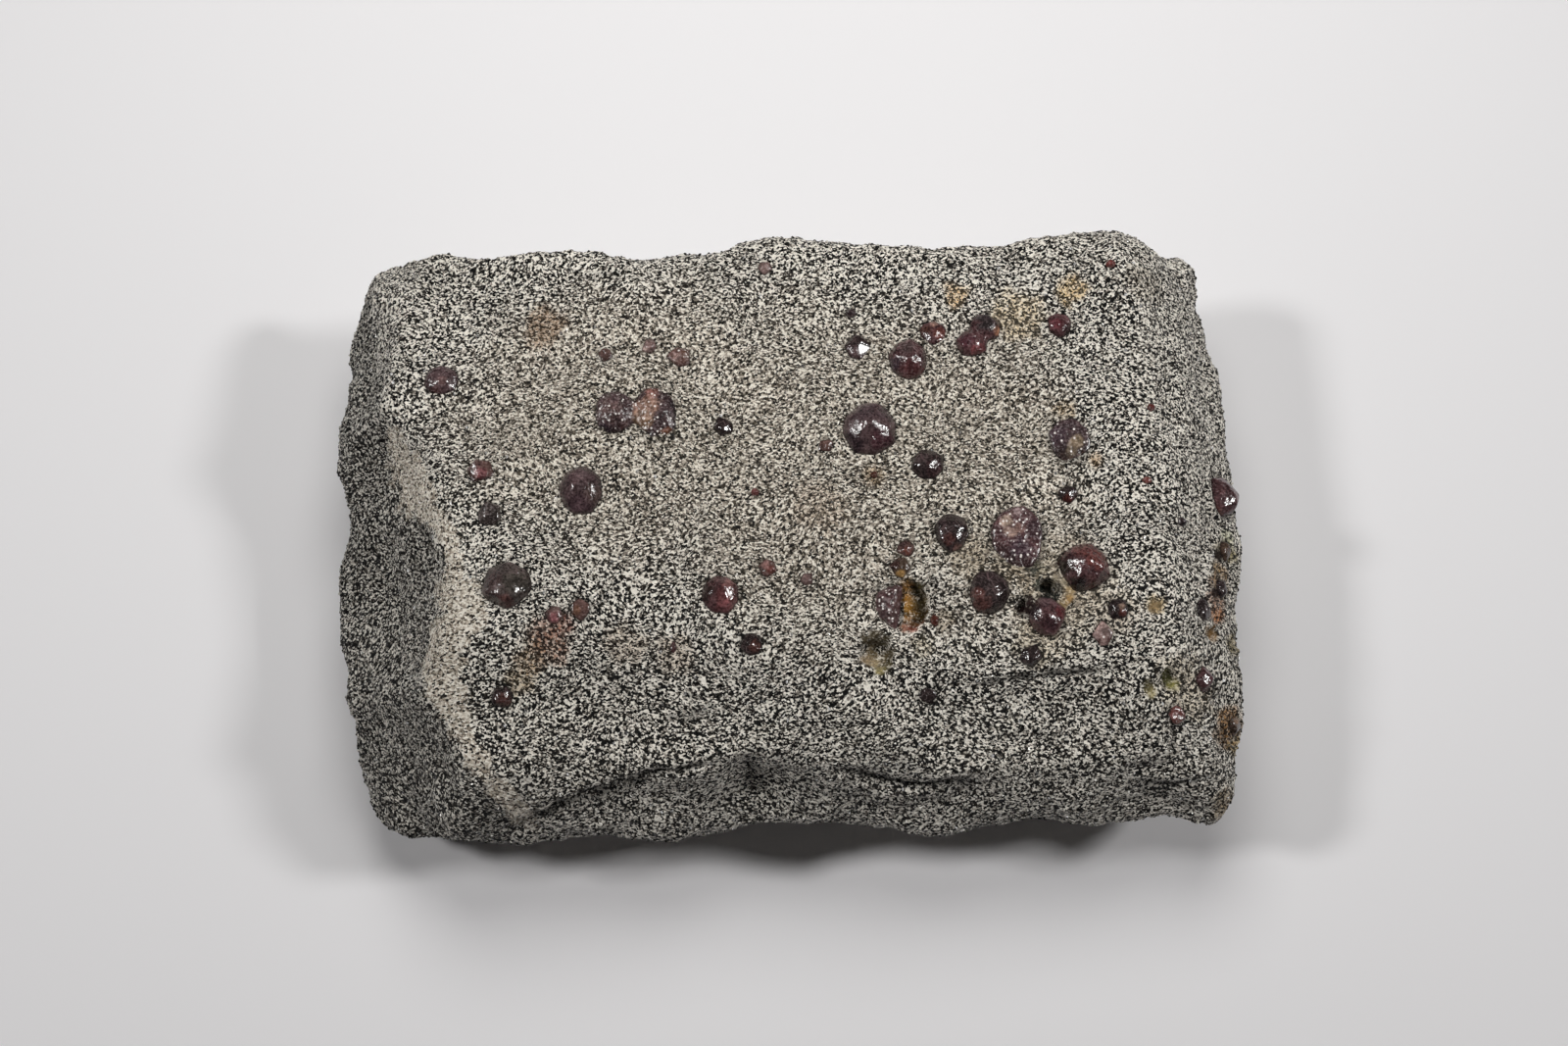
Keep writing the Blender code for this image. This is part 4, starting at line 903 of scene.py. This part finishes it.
# patches of another colour on a crystal, seen from above: x, y, radius in mm, colour, strength;
# a few pale ones are painted highlights and glints
PATCHES_AND_HIGHLIGHTS = {
    # the first, pale patch on 01 is a painted glint
    "01": [(-45.0, 18.6, 0.7, "#8c6c6a", 0.6), (-45.9, 17.2, 1.0, "#5a3c3c", 0.6)],
    "02": [(-39.3, 5.7, 0.9, "#8a5458", 0.8), (-39.6, 7.0, 0.8, "#584140", 0.8)],
    "03": [(-38.8, 0.9, 0.7, "#2f2726", 0.8)],
    "04": [(-24.6, 2.6, 1.3, "#5c4a44", 0.6), (-26.4, 1.0, 1.8, "#4d3a40", 0.7),
           # the next pale patch on 04 is a painted glint
           (-26.0, 5.2, 0.8, "#6c5a5c", 0.7)],
    "05": [(-33.9, -9.3, 1.9, "#45403b", 0.9), (-36.8, -9.0, 1.3, "#4a3a39", 0.8),
           (-35.2, -12.0, 1.2, "#5a3f3c", 0.95), (-37.0, -11.0, 1.1, "#3a2b2a", 0.8)],
    "pair": [(-22.6, 14.0, 1.8, "#6c5452", 0.9), (-20.6, 11.6, 1.2, "#5a3f3e", 0.8),
             (-23.6, 11.4, 1.2, "#463640", 0.9), (-17.9, 14.6, 1.9, "#a07c6c", 1.0),
             (-18.4, 12.8, 1.5, "#a8866c", 1.0), (-17.4, 16.8, 1.3, "#8c6058", 0.9),
             (-15.2, 11.0, 1.0, "#a8745c", 0.9), (-17.0, 10.4, 1.0, "#40323a", 0.9),
             (-13.9, 14.8, 1.5, "#392c33", 1.0), (-19.9, 11.2, 1.1, "#3c2e38", 0.9),
             (-14.0, 12.6, 0.8, "#44333a", 0.8)],
    # the first, pale patch on 08 is a painted glint
    "08": [(-14.2, 21.9, 0.8, "#9c807a", 0.8), (-13.1, 22.2, 0.6, "#7c5c50", 0.7)],
    "09": [(-18.4, 23.0, 0.5, "#c2a69e", 0.8)],
    "10": [(-9.9, -10.2, 1.3, "#40312e", 0.95), (-7.4, -11.4, 1.6, "#7c4c4e", 0.95),
           (-7.0, -9.4, 0.8, "#805a58", 0.8)],
    "11": [(-2.4, -6.7, 0.6, "#a07874", 0.7), (-1.6, -7.4, 0.7, "#6a3a34", 0.8)],
    "12": [(-3.6, -17.4, 0.9, "#5a3a36", 0.9)], "13": [(-35.0, -24.2, 1.0, "#5c3e3a", 0.9)],
    "14": [(-26.4, -12.8, 0.7, "#84604e", 0.8)], "15": [(-29.2, -13.8, 0.8, "#9c6468", 0.8)],
    "16": [(-2.4, 34.8, 0.7, "#9c8480", 0.7)], "17": [(9.4, 22.4, 1.3, "#5c484a", 0.9)],
    "18": [(16.9, 19.4, 1.7, "#6c4244", 1.0), (14.4, 20.6, 1.0, "#40323a", 0.9),
           (16.0, 22.6, 1.2, "#6a5858", 0.8)],
    "19": [(20.6, 25.0, 1.1, "#7a463e", 0.8), (18.5, 25.4, 1.1, "#4a3029", 0.9),
           # the next pale patch on 19 is a painted highlight
           (19.9, 26.5, 0.6, "#b08a7c", 0.7)],
    "twin": [(26.8, 26.8, 1.9, "#403738", 1.0), (24.1, 23.7, 1.1, "#5e3a42", 0.9),
             (25.6, 22.6, 1.2, "#784144", 0.9), (28.6, 25.3, 0.9, "#b07a60", 1.0)],
    "21": [(36.0, 26.3, 0.9, "#6c343c", 0.8), (37.5, 25.7, 0.8, "#3a2428", 0.8)],
    "22": [(10.2, 13.9, 1.9, "#5a4a4e", 0.8), (12.9, 9.8, 1.7, "#4c3036", 0.95),
           (8.6, 9.2, 1.7, "#43353a", 0.9), (13.3, 13.6, 1.3, "#483a3e", 0.8),
           (11.0, 15.2, 0.8, "#6e5e60", 0.7)], "23": [(19.4, 6.2, 1.2, "#4c3638", 0.8)],
    "24": [(38.0, 9.9, 1.1, "#c0a88c", 1.0), (37.4, 8.8, 0.9, "#b09a80", 0.9),
           (38.9, 8.0, 0.9, "#7c5a48", 0.9), (35.4, 10.8, 1.5, "#54424a", 0.95),
           (37.2, 12.8, 1.1, "#4d3c40", 0.95), (36.4, 7.6, 1.2, "#64504a", 0.9)],
    "25": [(36.6, 2.1, 0.7, "#5c302c", 0.9)],
    "26": [(22.3, -4.8, 0.8, "#80605a", 0.9), (20.4, -0.8, 1.0, "#3a2c2e", 0.8),
           (21.0, -3.6, 0.9, "#4d2f2c", 0.8)],
    "27": [(28.6, -1.2, 0.9, "#b8a090", 0.9), (28.9, -2.6, 0.9, "#a88c80", 0.9),
           (29.9, 0.2, 0.7, "#a89090", 0.8), (30.2, -2.2, 0.7, "#8c6c64", 0.8),
           (32.4, -2.2, 1.7, "#463438", 0.95), (28.6, 0.9, 1.1, "#3e3032", 0.9),
           (31.4, 0.4, 0.9, "#604a4c", 0.8), (30.2, -4.8, 1.6, "#4a3840", 0.9)],
    "28": [(39.6, -6.4, 1.7, "#78443f", 0.95), (35.4, -7.2, 1.5, "#2c2420", 1.0),
           (37.2, -10.0, 1.3, "#241c1a", 0.95), (37.8, -5.4, 1.2, "#5e3a38", 0.9),
           (38.6, -4.2, 1.0, "#74504c", 0.8), (39.0, -9.8, 0.9, "#62423e", 0.8)],
    "29": [(24.8, -12.4, 1.4, "#60403c", 0.95), (24.6, -10.9, 0.9, "#5c3a36", 0.9),
           (26.8, -8.6, 1.2, "#453839", 0.8)],
    "30": [(35.1, -13.2, 0.9, "#683438", 0.95), (31.4, -13.0, 1.3, "#33272a", 1.0),
           # the first patch on the next line, pale lilac on 30, is a painted sheen
           (33.2, -11.6, 1.2, "#6a5256", 0.9), (33.6, -14.8, 1.0, "#432e32", 0.9)],
    "31": [(15.7, -4.9, 0.6, "#7c4a40", 0.8), (15.2, -4.0, 0.6, "#3c2a28", 0.8)],
    "32": [(14.8, -8.3, 0.9, "#b8905a", 1.0), (15.6, -8.5, 0.6, "#d8bc90", 0.95),
           (14.0, -6.8, 0.8, "#4a3330", 0.9)],
    "split": [(15.6, -9.8, 0.55, "#a8803c", 1.0), (15.8, -11.0, 0.6, "#b4883c", 1.0),
              (15.9, -12.0, 0.6, "#b4883c", 1.0), (16.0, -13.0, 0.6, "#a87c38", 1.0),
              (16.1, -14.0, 0.6, "#9a7038", 1.0), (16.2, -15.2, 0.9, "#a86e5c", 1.0),
              (17.6, -12.0, 1.2, "#5c5030", 1.0), (17.4, -14.2, 0.9, "#6c4440", 0.9)],
    # the first, pale patch on 35 is a painted glint
    "35": [(42.7, -12.5, 0.5, "#b09484", 0.8), (42.8, -13.2, 0.6, "#6a3c34", 0.8)],
    "36": [(40.3, -15.2, 1.0, "#c8a8a2", 0.95), (39.4, -16.8, 0.6, "#5e3a36", 0.9),
           (41.2, -16.8, 0.7, "#8c5654", 0.9)],
    "37": [(57.0, 2.8, 0.9, "#7c5450", 0.8), (58.6, 4.6, 1.2, "#3a2a2c", 0.8)],
    "42": [(49.2, -25.4, 1.4, "#8c5450", 0.9)], "43": [(58.2, -25.0, 0.6, "#8a5a28", 0.8)],
}
print(len(LOOKS), "garnets with a look of their own,", len(PATCHES_AND_HIGHLIGHTS), "with patches")

# %% [markdown]
# ## Where the light and the eye are
# A crystal flashes where one of its flats mirrors a lamp to the eye. So the places of the two side lamps
# and of the eye are settled before the crystals are made.


# %% Places of the lamps and the eye
def around(elevation, azimuth, distance):
    """A place on a circle round the block: azimuth 0 is to the right and 90 behind, in degrees."""
    lift, turn = math.radians(elevation), math.radians(azimuth)
    level_part = math.cos(lift)
    return Vector((level_part * math.cos(turn), level_part * math.sin(turn), math.sin(lift))) * distance


LAMP_DISTANCE = 1.0                           # m
LAMPS = {"R": around(42, 3, LAMP_DISTANCE), "L": around(45, 177, LAMP_DISTANCE)}
EYE = Vector((0.0, -0.0845, 0.284))           # m
EYE_TILT = math.radians(18.0)                 # how far the eye looks forward from straight down
print("the eye is", round(EYE.length / MM), "mm from the middle of the block")

# %% [markdown]
# ## The garnets' shapes
# Almandine grows as a ball of flat faces, and hammering and weathering round the edges and chip it. A
# packed crystal has a few dozen plain triangles. Each one is rebuilt from its own faces: a fine ball is
# shrunk in every direction on to the nearest of the face planes, and a high power in place of a plain
# minimum rounds the edges a little, as polishing would. Extra shallow planes are chips. Where the real
# crystal flashes at a lamp, one more plane is turned half way between the lamp and the eye. Crystals that
# grew together aren't one ball, so they are remeshed finely instead and keep their faces that way.

# %% Rebuild one garnet from its faces
EDGE_POWER = 26       # the higher, the sharper the edges between faces
LARGE = 3.4           # mm, from which a crystal gets the finer ball and more chips
# the lamp a flat flashes at, and the flat's radius in mm
FLASHES = {"M": ("R", 0.80), "R": ("R", 0.50), "r": ("R", 0.28), "l": ("L", 0.22)}


def ball_on_planes(name, chance, flashes):
    """The crystal as a fine ball shrunk on to its face planes, chip planes and flash planes."""
    shape = crystal_shapes[name]
    middle = middle_of(shape)
    planes = {}
    for face in shape.faces:
        reach = face.normal.dot(face.calc_center_median() - middle) / MM
        planes[tuple(round(c, 2) for c in face.normal)] = (face.normal.copy(), reach)
    own = rows_of(shape)
    width = float(np.sort(own.max(0) - own.min(0))[1])
    fineness, chips = (5, 9) if width > LARGE else (4, 5)
    ball = bmesh.new()
    bmesh.ops.create_icosphere(ball, subdivisions=fineness, radius=1.0)
    rays = np.array([v.co for v in ball.verts])

    def shrink(sides):
        normals = np.array([n for n, _ in sides])
        reaches = np.array([max(d, 0.02) for _, d in sides])
        share = np.clip(rays @ normals.T, 0, None) / reaches
        return (share ** EDGE_POWER).sum(1) ** (-1 / EDGE_POWER), share.argmax(1)

    sides = list(planes.values())
    radius, _ = shrink(sides)
    solid = rays * radius[:, None]
    out = Vector(outward[name])
    for _ in range(chips):
        way = (out + Vector([chance.uniform(-1.0, 1.0) for _ in range(3)])).normalized()
        sides.append((way, float((solid @ np.array(way)).max()) * chance.uniform(0.89, 0.96)))
    for flat in flashes:
        lamp_name, flat_radius = FLASHES[flat]
        way = ((LAMPS[lamp_name] - middle).normalized() + (EYE - middle).normalized()).normalized()
        top = float((solid @ np.array(way)).max())
        sides.append((way, max(math.sqrt(max(top ** 2 - flat_radius ** 2, 0.0)), 0.8 * top)))
    radius, face_of = shrink(sides)
    piece = new_object("crystal_" + short(name), ball)
    move_corners(piece.data, np.array(middle) / MM + rays * radius[:, None])
    return piece, face_of, (face_of >= len(sides) - len(flashes)).astype(float)


print("flats that flash:", sum(len(flashes) for _, _, _, flashes in LOOKS.values()))

# %% [markdown]
# ## Crystals that grew together
# A pair has a waist, and a split crystal has a flat broken side, which a shrunken ball can't show. The net
# follows both, and smoothing rounds them as weathering did. A face is then wherever vertices point alike.


# %% Keep the faces of grown-together crystals
JOINED_NET = 0.2      # mm between the vertices
ROUNDING = {"pair": 45, "twin": 12, "split": 25}     # rounds of smoothing


def remeshed(name):
    """A grown-together crystal on a fine net; its faces are told apart by the way they point."""
    piece = new_object("crystal_" + short(name), crystal_shapes[name].copy())
    remesh(piece, JOINED_NET)
    move_corners(piece.data, smooth(corners(piece.data), edges_of(piece.data), ROUNDING[short(name)]))
    ways = (directions(piece.data) * 2.4).round().astype(int) + 3
    return piece, (ways * (49, 7, 1)).sum(1), np.zeros(len(ways))


print("grown together:", ", ".join(ROUNDING))

# %% [markdown]
# ## Almandine
# Almandine is nearly opaque in crystals of this size: a very dark brownish red with a glassy skin. Its
# refractive index of about 1.8 makes the flashes strong. Fine cracks run through it and show paler, and
# mica dust clings to the weathered faces and takes their gloss away.

# %% The almandine material
GARNET_TABLES = ("body", "film", "patch", "patch_amount", "facet", "foot", "flat")


def almandine_surface(name):
    """Glassy dark red garnet, cracked inside, with dull films of mica dust, painted white glints where the
    film is thick, and painted shade at its foot.
    """
    surface, tree = empty_material(name)
    place = add(tree, "ShaderNodeTexCoord").outputs["Object"]
    kept = {title: add(tree, "ShaderNodeAttribute", attribute_name=title).outputs for title in GARNET_TABLES}
    film = kept["film"]["Fac"]
    cloud, speckle = [add(tree, "ShaderNodeTexNoise", {"Vector": place, "Scale": per(size), "Detail": detail})
                      for size, detail in ((1.4, 3.0), (0.32, 2.0))]
    edge = add(tree, "ShaderNodeTexVoronoi", {"Vector": place, "Scale": per(1.5)}, feature="DISTANCE_TO_EDGE")
    thin = add(tree, "ShaderNodeMapRange", {0: edge, 1: 0.0, 2: 0.045, 3: 1.0, 4: 0.0})
    some = add(tree, "ShaderNodeMapRange", {0: cloud, 1: 0.48, 2: 0.6})
    crack = add(tree, "ShaderNodeMath", {0: thin, 1: some}, operation="MULTIPLY")

    # the body: darker and redder clouds, each facet its own depth, a fine speckle
    body = add(tree, "ShaderNodeMix", {0: kept["patch_amount"]["Fac"], 6: kept["body"]["Color"],
                                       7: kept["patch"]["Color"]}, data_type="RGBA")
    for part, least, span in ((cloud, 0.1, 1.5), (kept["facet"]["Fac"], 0.65, 0.6), (speckle, -0.5, 3.0)):
        depth = add(tree, "ShaderNodeMath", {0: part, 1: span, 2: least}, operation="MULTIPLY_ADD")
        body = add(tree, "ShaderNodeVectorMath", {0: body, 3: depth}, operation="SCALE")

    # dust lies in specks where the film is, cracks are pale, and the foot gets painted shade
    dust = add(tree, "ShaderNodeMapRange", {0: speckle, 1: 0.55, 2: 0.66})
    dust = add(tree, "ShaderNodeMath", {0: dust, 1: film}, operation="MULTIPLY")
    for amount, share, shade in ((dust, 0.50, "#9a8f90"), (crack, 0.40, "#8c7274"),
                                 (kept["foot"]["Fac"], 0.6, "#1a1312")):
        amount = add(tree, "ShaderNodeMath", {0: amount, 1: share}, operation="MULTIPLY")
        body = add(tree, "ShaderNodeMix", {0: amount, 6: body, 7: linear(shade)}, data_type="RGBA")

    # where the film is thick, white dots are painted glints on the break
    glint_cells = add(tree, "ShaderNodeTexVoronoi", {"Vector": place, "Scale": per(0.42)}).outputs
    glinting_cell = add(tree, "ShaderNodeSeparateColor", {0: glint_cells["Color"]}).outputs[0]
    share = add(tree, "ShaderNodeMapRange", {0: film, 1: 0.42, 2: 0.7, 3: 1.01, 4: 0.64})
    glinting_cell = add(tree, "ShaderNodeMath", {0: glinting_cell, 1: share}, operation="GREATER_THAN")
    dot = add(tree, "ShaderNodeMapRange", {0: glint_cells["Distance"], 1: 0.42, 2: 0.26})
    dot = add(tree, "ShaderNodeMath", {0: dot, 1: glinting_cell}, operation="MULTIPLY")
    body = add(tree, "ShaderNodeMix", {0: dot, 6: body, 7: linear("#f6eeea")}, data_type="RGBA")

    rough = add(tree, "ShaderNodeMath", {0: dust, 1: 0.5, 2: 0.10}, operation="MULTIPLY_ADD")
    rough = add(tree, "ShaderNodeMath", {0: film, 1: 0.25, 2: rough}, operation="MULTIPLY_ADD")
    height = add(tree, "ShaderNodeMath", {0: crack, 1: -0.6, 2: speckle}, operation="MULTIPLY_ADD")
    even = add(tree, "ShaderNodeMapRange", {0: kept["flat"]["Fac"], 1: 0.0, 2: 1.0, 3: 1.0, 4: 0.05})
    height = add(tree, "ShaderNodeMath", {0: height, 1: even}, operation="MULTIPLY")
    bump = add(tree, "ShaderNodeBump", {"Height": height, "Strength": 1.0, "Distance": 0.055 * MM})
    shader = add(tree, "ShaderNodeBsdfPrincipled", {
        "Base Color": body, "Roughness": rough, "Normal": bump, "IOR": 1.80})
    add(tree, "ShaderNodeOutputMaterial", {0: shader})
    return surface


almandine = almandine_surface("almandine_glassy_weathered")
print("almandine:", len(almandine.node_tree.nodes), "nodes")

# %% [markdown]
# ## The garnets on the stone
# Now each crystal is rebuilt, its break is pitted on the side that shows, and what the material has to know
# is stored on it: its tone and dust, its patches and painted highlights, a random number for each face, and
# how much painted shade its foot gets.

# %% Dress every crystal
FACE_DRAWS = 400      # random numbers to pick from, more than a crystal has faces
CRYSTAL_SEED = 20     # past the seeds of the stone


def dress_crystal(name, material):
    tone, film, rough, flashes = LOOKS.get(short(name), COMMON_LOOK)
    if short(name) in ROUNDING:
        piece, face_of, flat = remeshed(name)
    else:
        piece, face_of, flat = ball_on_planes(name, random.Random(name), flashes)
    points, ways = corners(piece.data), directions(piece.data)
    seed = CRYSTALS.index(name) + CRYSTAL_SEED
    coarse, fine = noise_field(points, 1.3, 2, seed), noise_field(points, 0.55, 2, seed)
    pitted = rough * smoothstep(-0.3, 0.2, ways @ outward[name]) * (1.0 - 0.9 * flat)
    points -= ways * (np.clip(0.5 * coarse + 0.5 * fine + 0.25, 0, 2) * pitted)[:, None]
    move_corners(piece.data, points)
    patch, amount = paint(points, PATCHES_AND_HIGHLIGHTS.get(short(name), []), 0.8, seed)
    height = (points - level[name]) @ outward[name]
    draws = np.random.RandomState(seed).rand(FACE_DRAWS)
    count = len(points)
    store(piece.data, body=np.tile(linear(TONES[tone]), (count, 1)), film=np.full(count, film), flat=flat,
          patch=patch, patch_amount=amount, facet=draws[face_of % FACE_DRAWS],
          foot=smoothstep(0.4, 0.0, height))
    coat(piece, material)
    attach(piece, "root")
    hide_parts(name)
    return triangles(piece)


print("crystals:", sum(dress_crystal(name, almandine) for name in CRYSTALS), "triangles in all")

# %% [markdown]
# ## Specks of garnet
# Some crystals are about a millimetre across, too small for solids of their own. They are uneven little
# balls, half sunk where the skin lies, joined in one piece.

# %% Set the specks in the stone
SPECKS = [  # x, y, across and along in mm, colour
    (48.0, 15.0, 1.1, 1.1, "#6c3a36"), (47.2, 4.8, 1.2, 1.0, "#844e48"), (51.5, -0.1, 1.4, 1.3, "#3a3032"),
    (11.7, 5.2, 1.0, 1.0, "#5c3a30"), (-3.8, 3.2, 1.1, 1.0, "#744442"), (43.6, 35.1, 1.3, 1.2, "#743c38"),
    (-13.9, -17.2, 0.8, 1.5, "#503838"), (19.2, -13.9, 1.1, 1.6, "#5a3028"),
    (8.9, 28.0, 1.5, 1.3, "#46383a"),
]


def speck_piece(name, material):
    shape = bmesh.new()
    colours = []
    for x, y, across, length, colour in SPECKS:
        gap = np.where(facing[:, 2] > 0.2, apart(skin, x, y), np.inf)
        spot = Vector(skin[gap.argmin()]) * MM
        ball = bmesh.ops.create_icosphere(shape, subdivisions=3, radius=0.5 * MM)["verts"]
        for vertex in ball:
            uneven = 1.0 + 0.22 * noise.noise(vertex.co / MM * 2.6 + Vector((x, y, 0.0)))
            vertex.co = vertex.co * Vector((across, length, across)) * uneven + spot
        colours += [linear(colour)] * len(ball)
    piece = new_object(name, shape)
    body, nothing = np.array(colours), np.zeros(len(colours))
    store(piece.data, body=body, film=nothing + 0.25, patch=body, patch_amount=nothing, facet=nothing + 0.5,
          foot=nothing, flat=nothing)
    coat(piece, material)
    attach(piece, "root")
    return piece


print("specks:", triangles(speck_piece("garnet_specks", almandine)), "triangles")

# %% [markdown]
# ## The studio
# The specimen lies on a pale table between two lamps, one on each side and half way up, under a soft light
# from above and behind. The side lamps rake across the grain and throw the two soft shadows.

# %% Floor, lamps and camera
FLOOR = 0.9           # m, half the side of the floor
LAMP_WIDTH = 0.15     # m, across a side lamp; the wider, the softer its shadow


def studio_floor():
    """A sheet of matt white paper, which takes soft shadows and throws no glint."""
    shape = bmesh.new()
    ends = [(-FLOOR, -FLOOR), (FLOOR, -FLOOR), (FLOOR, FLOOR), (-FLOOR, FLOOR)]
    shape.faces.new([shape.verts.new((x, y, 0.0)) for x, y in ends])
    surface, tree = empty_material("studio_paper_matt_white")
    shader = add(tree, "ShaderNodeBsdfPrincipled", {"Base Color": linear("#f1f0f3"), "Roughness": 0.9})
    add(tree, "ShaderNodeOutputMaterial", {0: shader})
    made = new_object("studio_floor", shape)
    made.data.materials.append(surface)
    return made


def lamp(name, place, aim, size, power, colour):
    """A round soft lamp of so many watts at a place in metres, aimed at another, and unseen itself."""
    light = bpy.data.lights.new(name, "AREA")
    light.shape, light.size, light.energy = "DISK", size, power
    light.color = linear(colour)[:3]
    made = bpy.data.objects.new(name, light)
    made.location = place
    made.rotation_euler = (Vector(place) - Vector(aim)).to_track_quat("Z", "Y").to_euler()
    made.visible_camera = False
    bpy.context.scene.collection.objects.link(made)
    return made


floor = studio_floor()
lamp("lamp_right", LAMPS["R"], (0, 0, 0), LAMP_WIDTH, 3.3, "#fffefc")
lamp("lamp_left", LAMPS["L"], (0, 0, 0), LAMP_WIDTH, 3.0, "#fffefc")
overhead = lamp("overhead", (0.0, 0.15, 0.28), (0.0, 0.13, 0.0), 0.22, 0.51, "#fffefa")
overhead.visible_glossy = False       # it only fills, and leaves no pale sheen on the crystals

world = bpy.data.worlds.new("studio_room")
world.use_nodes = True
room = world.node_tree.nodes["Background"].inputs
room["Color"].default_value, room["Strength"].default_value = linear("#f2f2f6"), 0.015
bpy.context.scene.world = world

lens = bpy.data.cameras.new("camera")
lens.lens, lens.sensor_width = 48.24, 36.0     # mm
camera = bpy.data.objects.new("camera", lens)
camera.location = EYE
camera.rotation_euler = Euler((EYE_TILT, 0.0, 0.0))
bpy.context.scene.collection.objects.link(camera)
bpy.context.scene.camera = camera
bpy.context.scene.view_settings.view_transform = "Standard"
print("studio:", len(bpy.data.lights), "lamps")
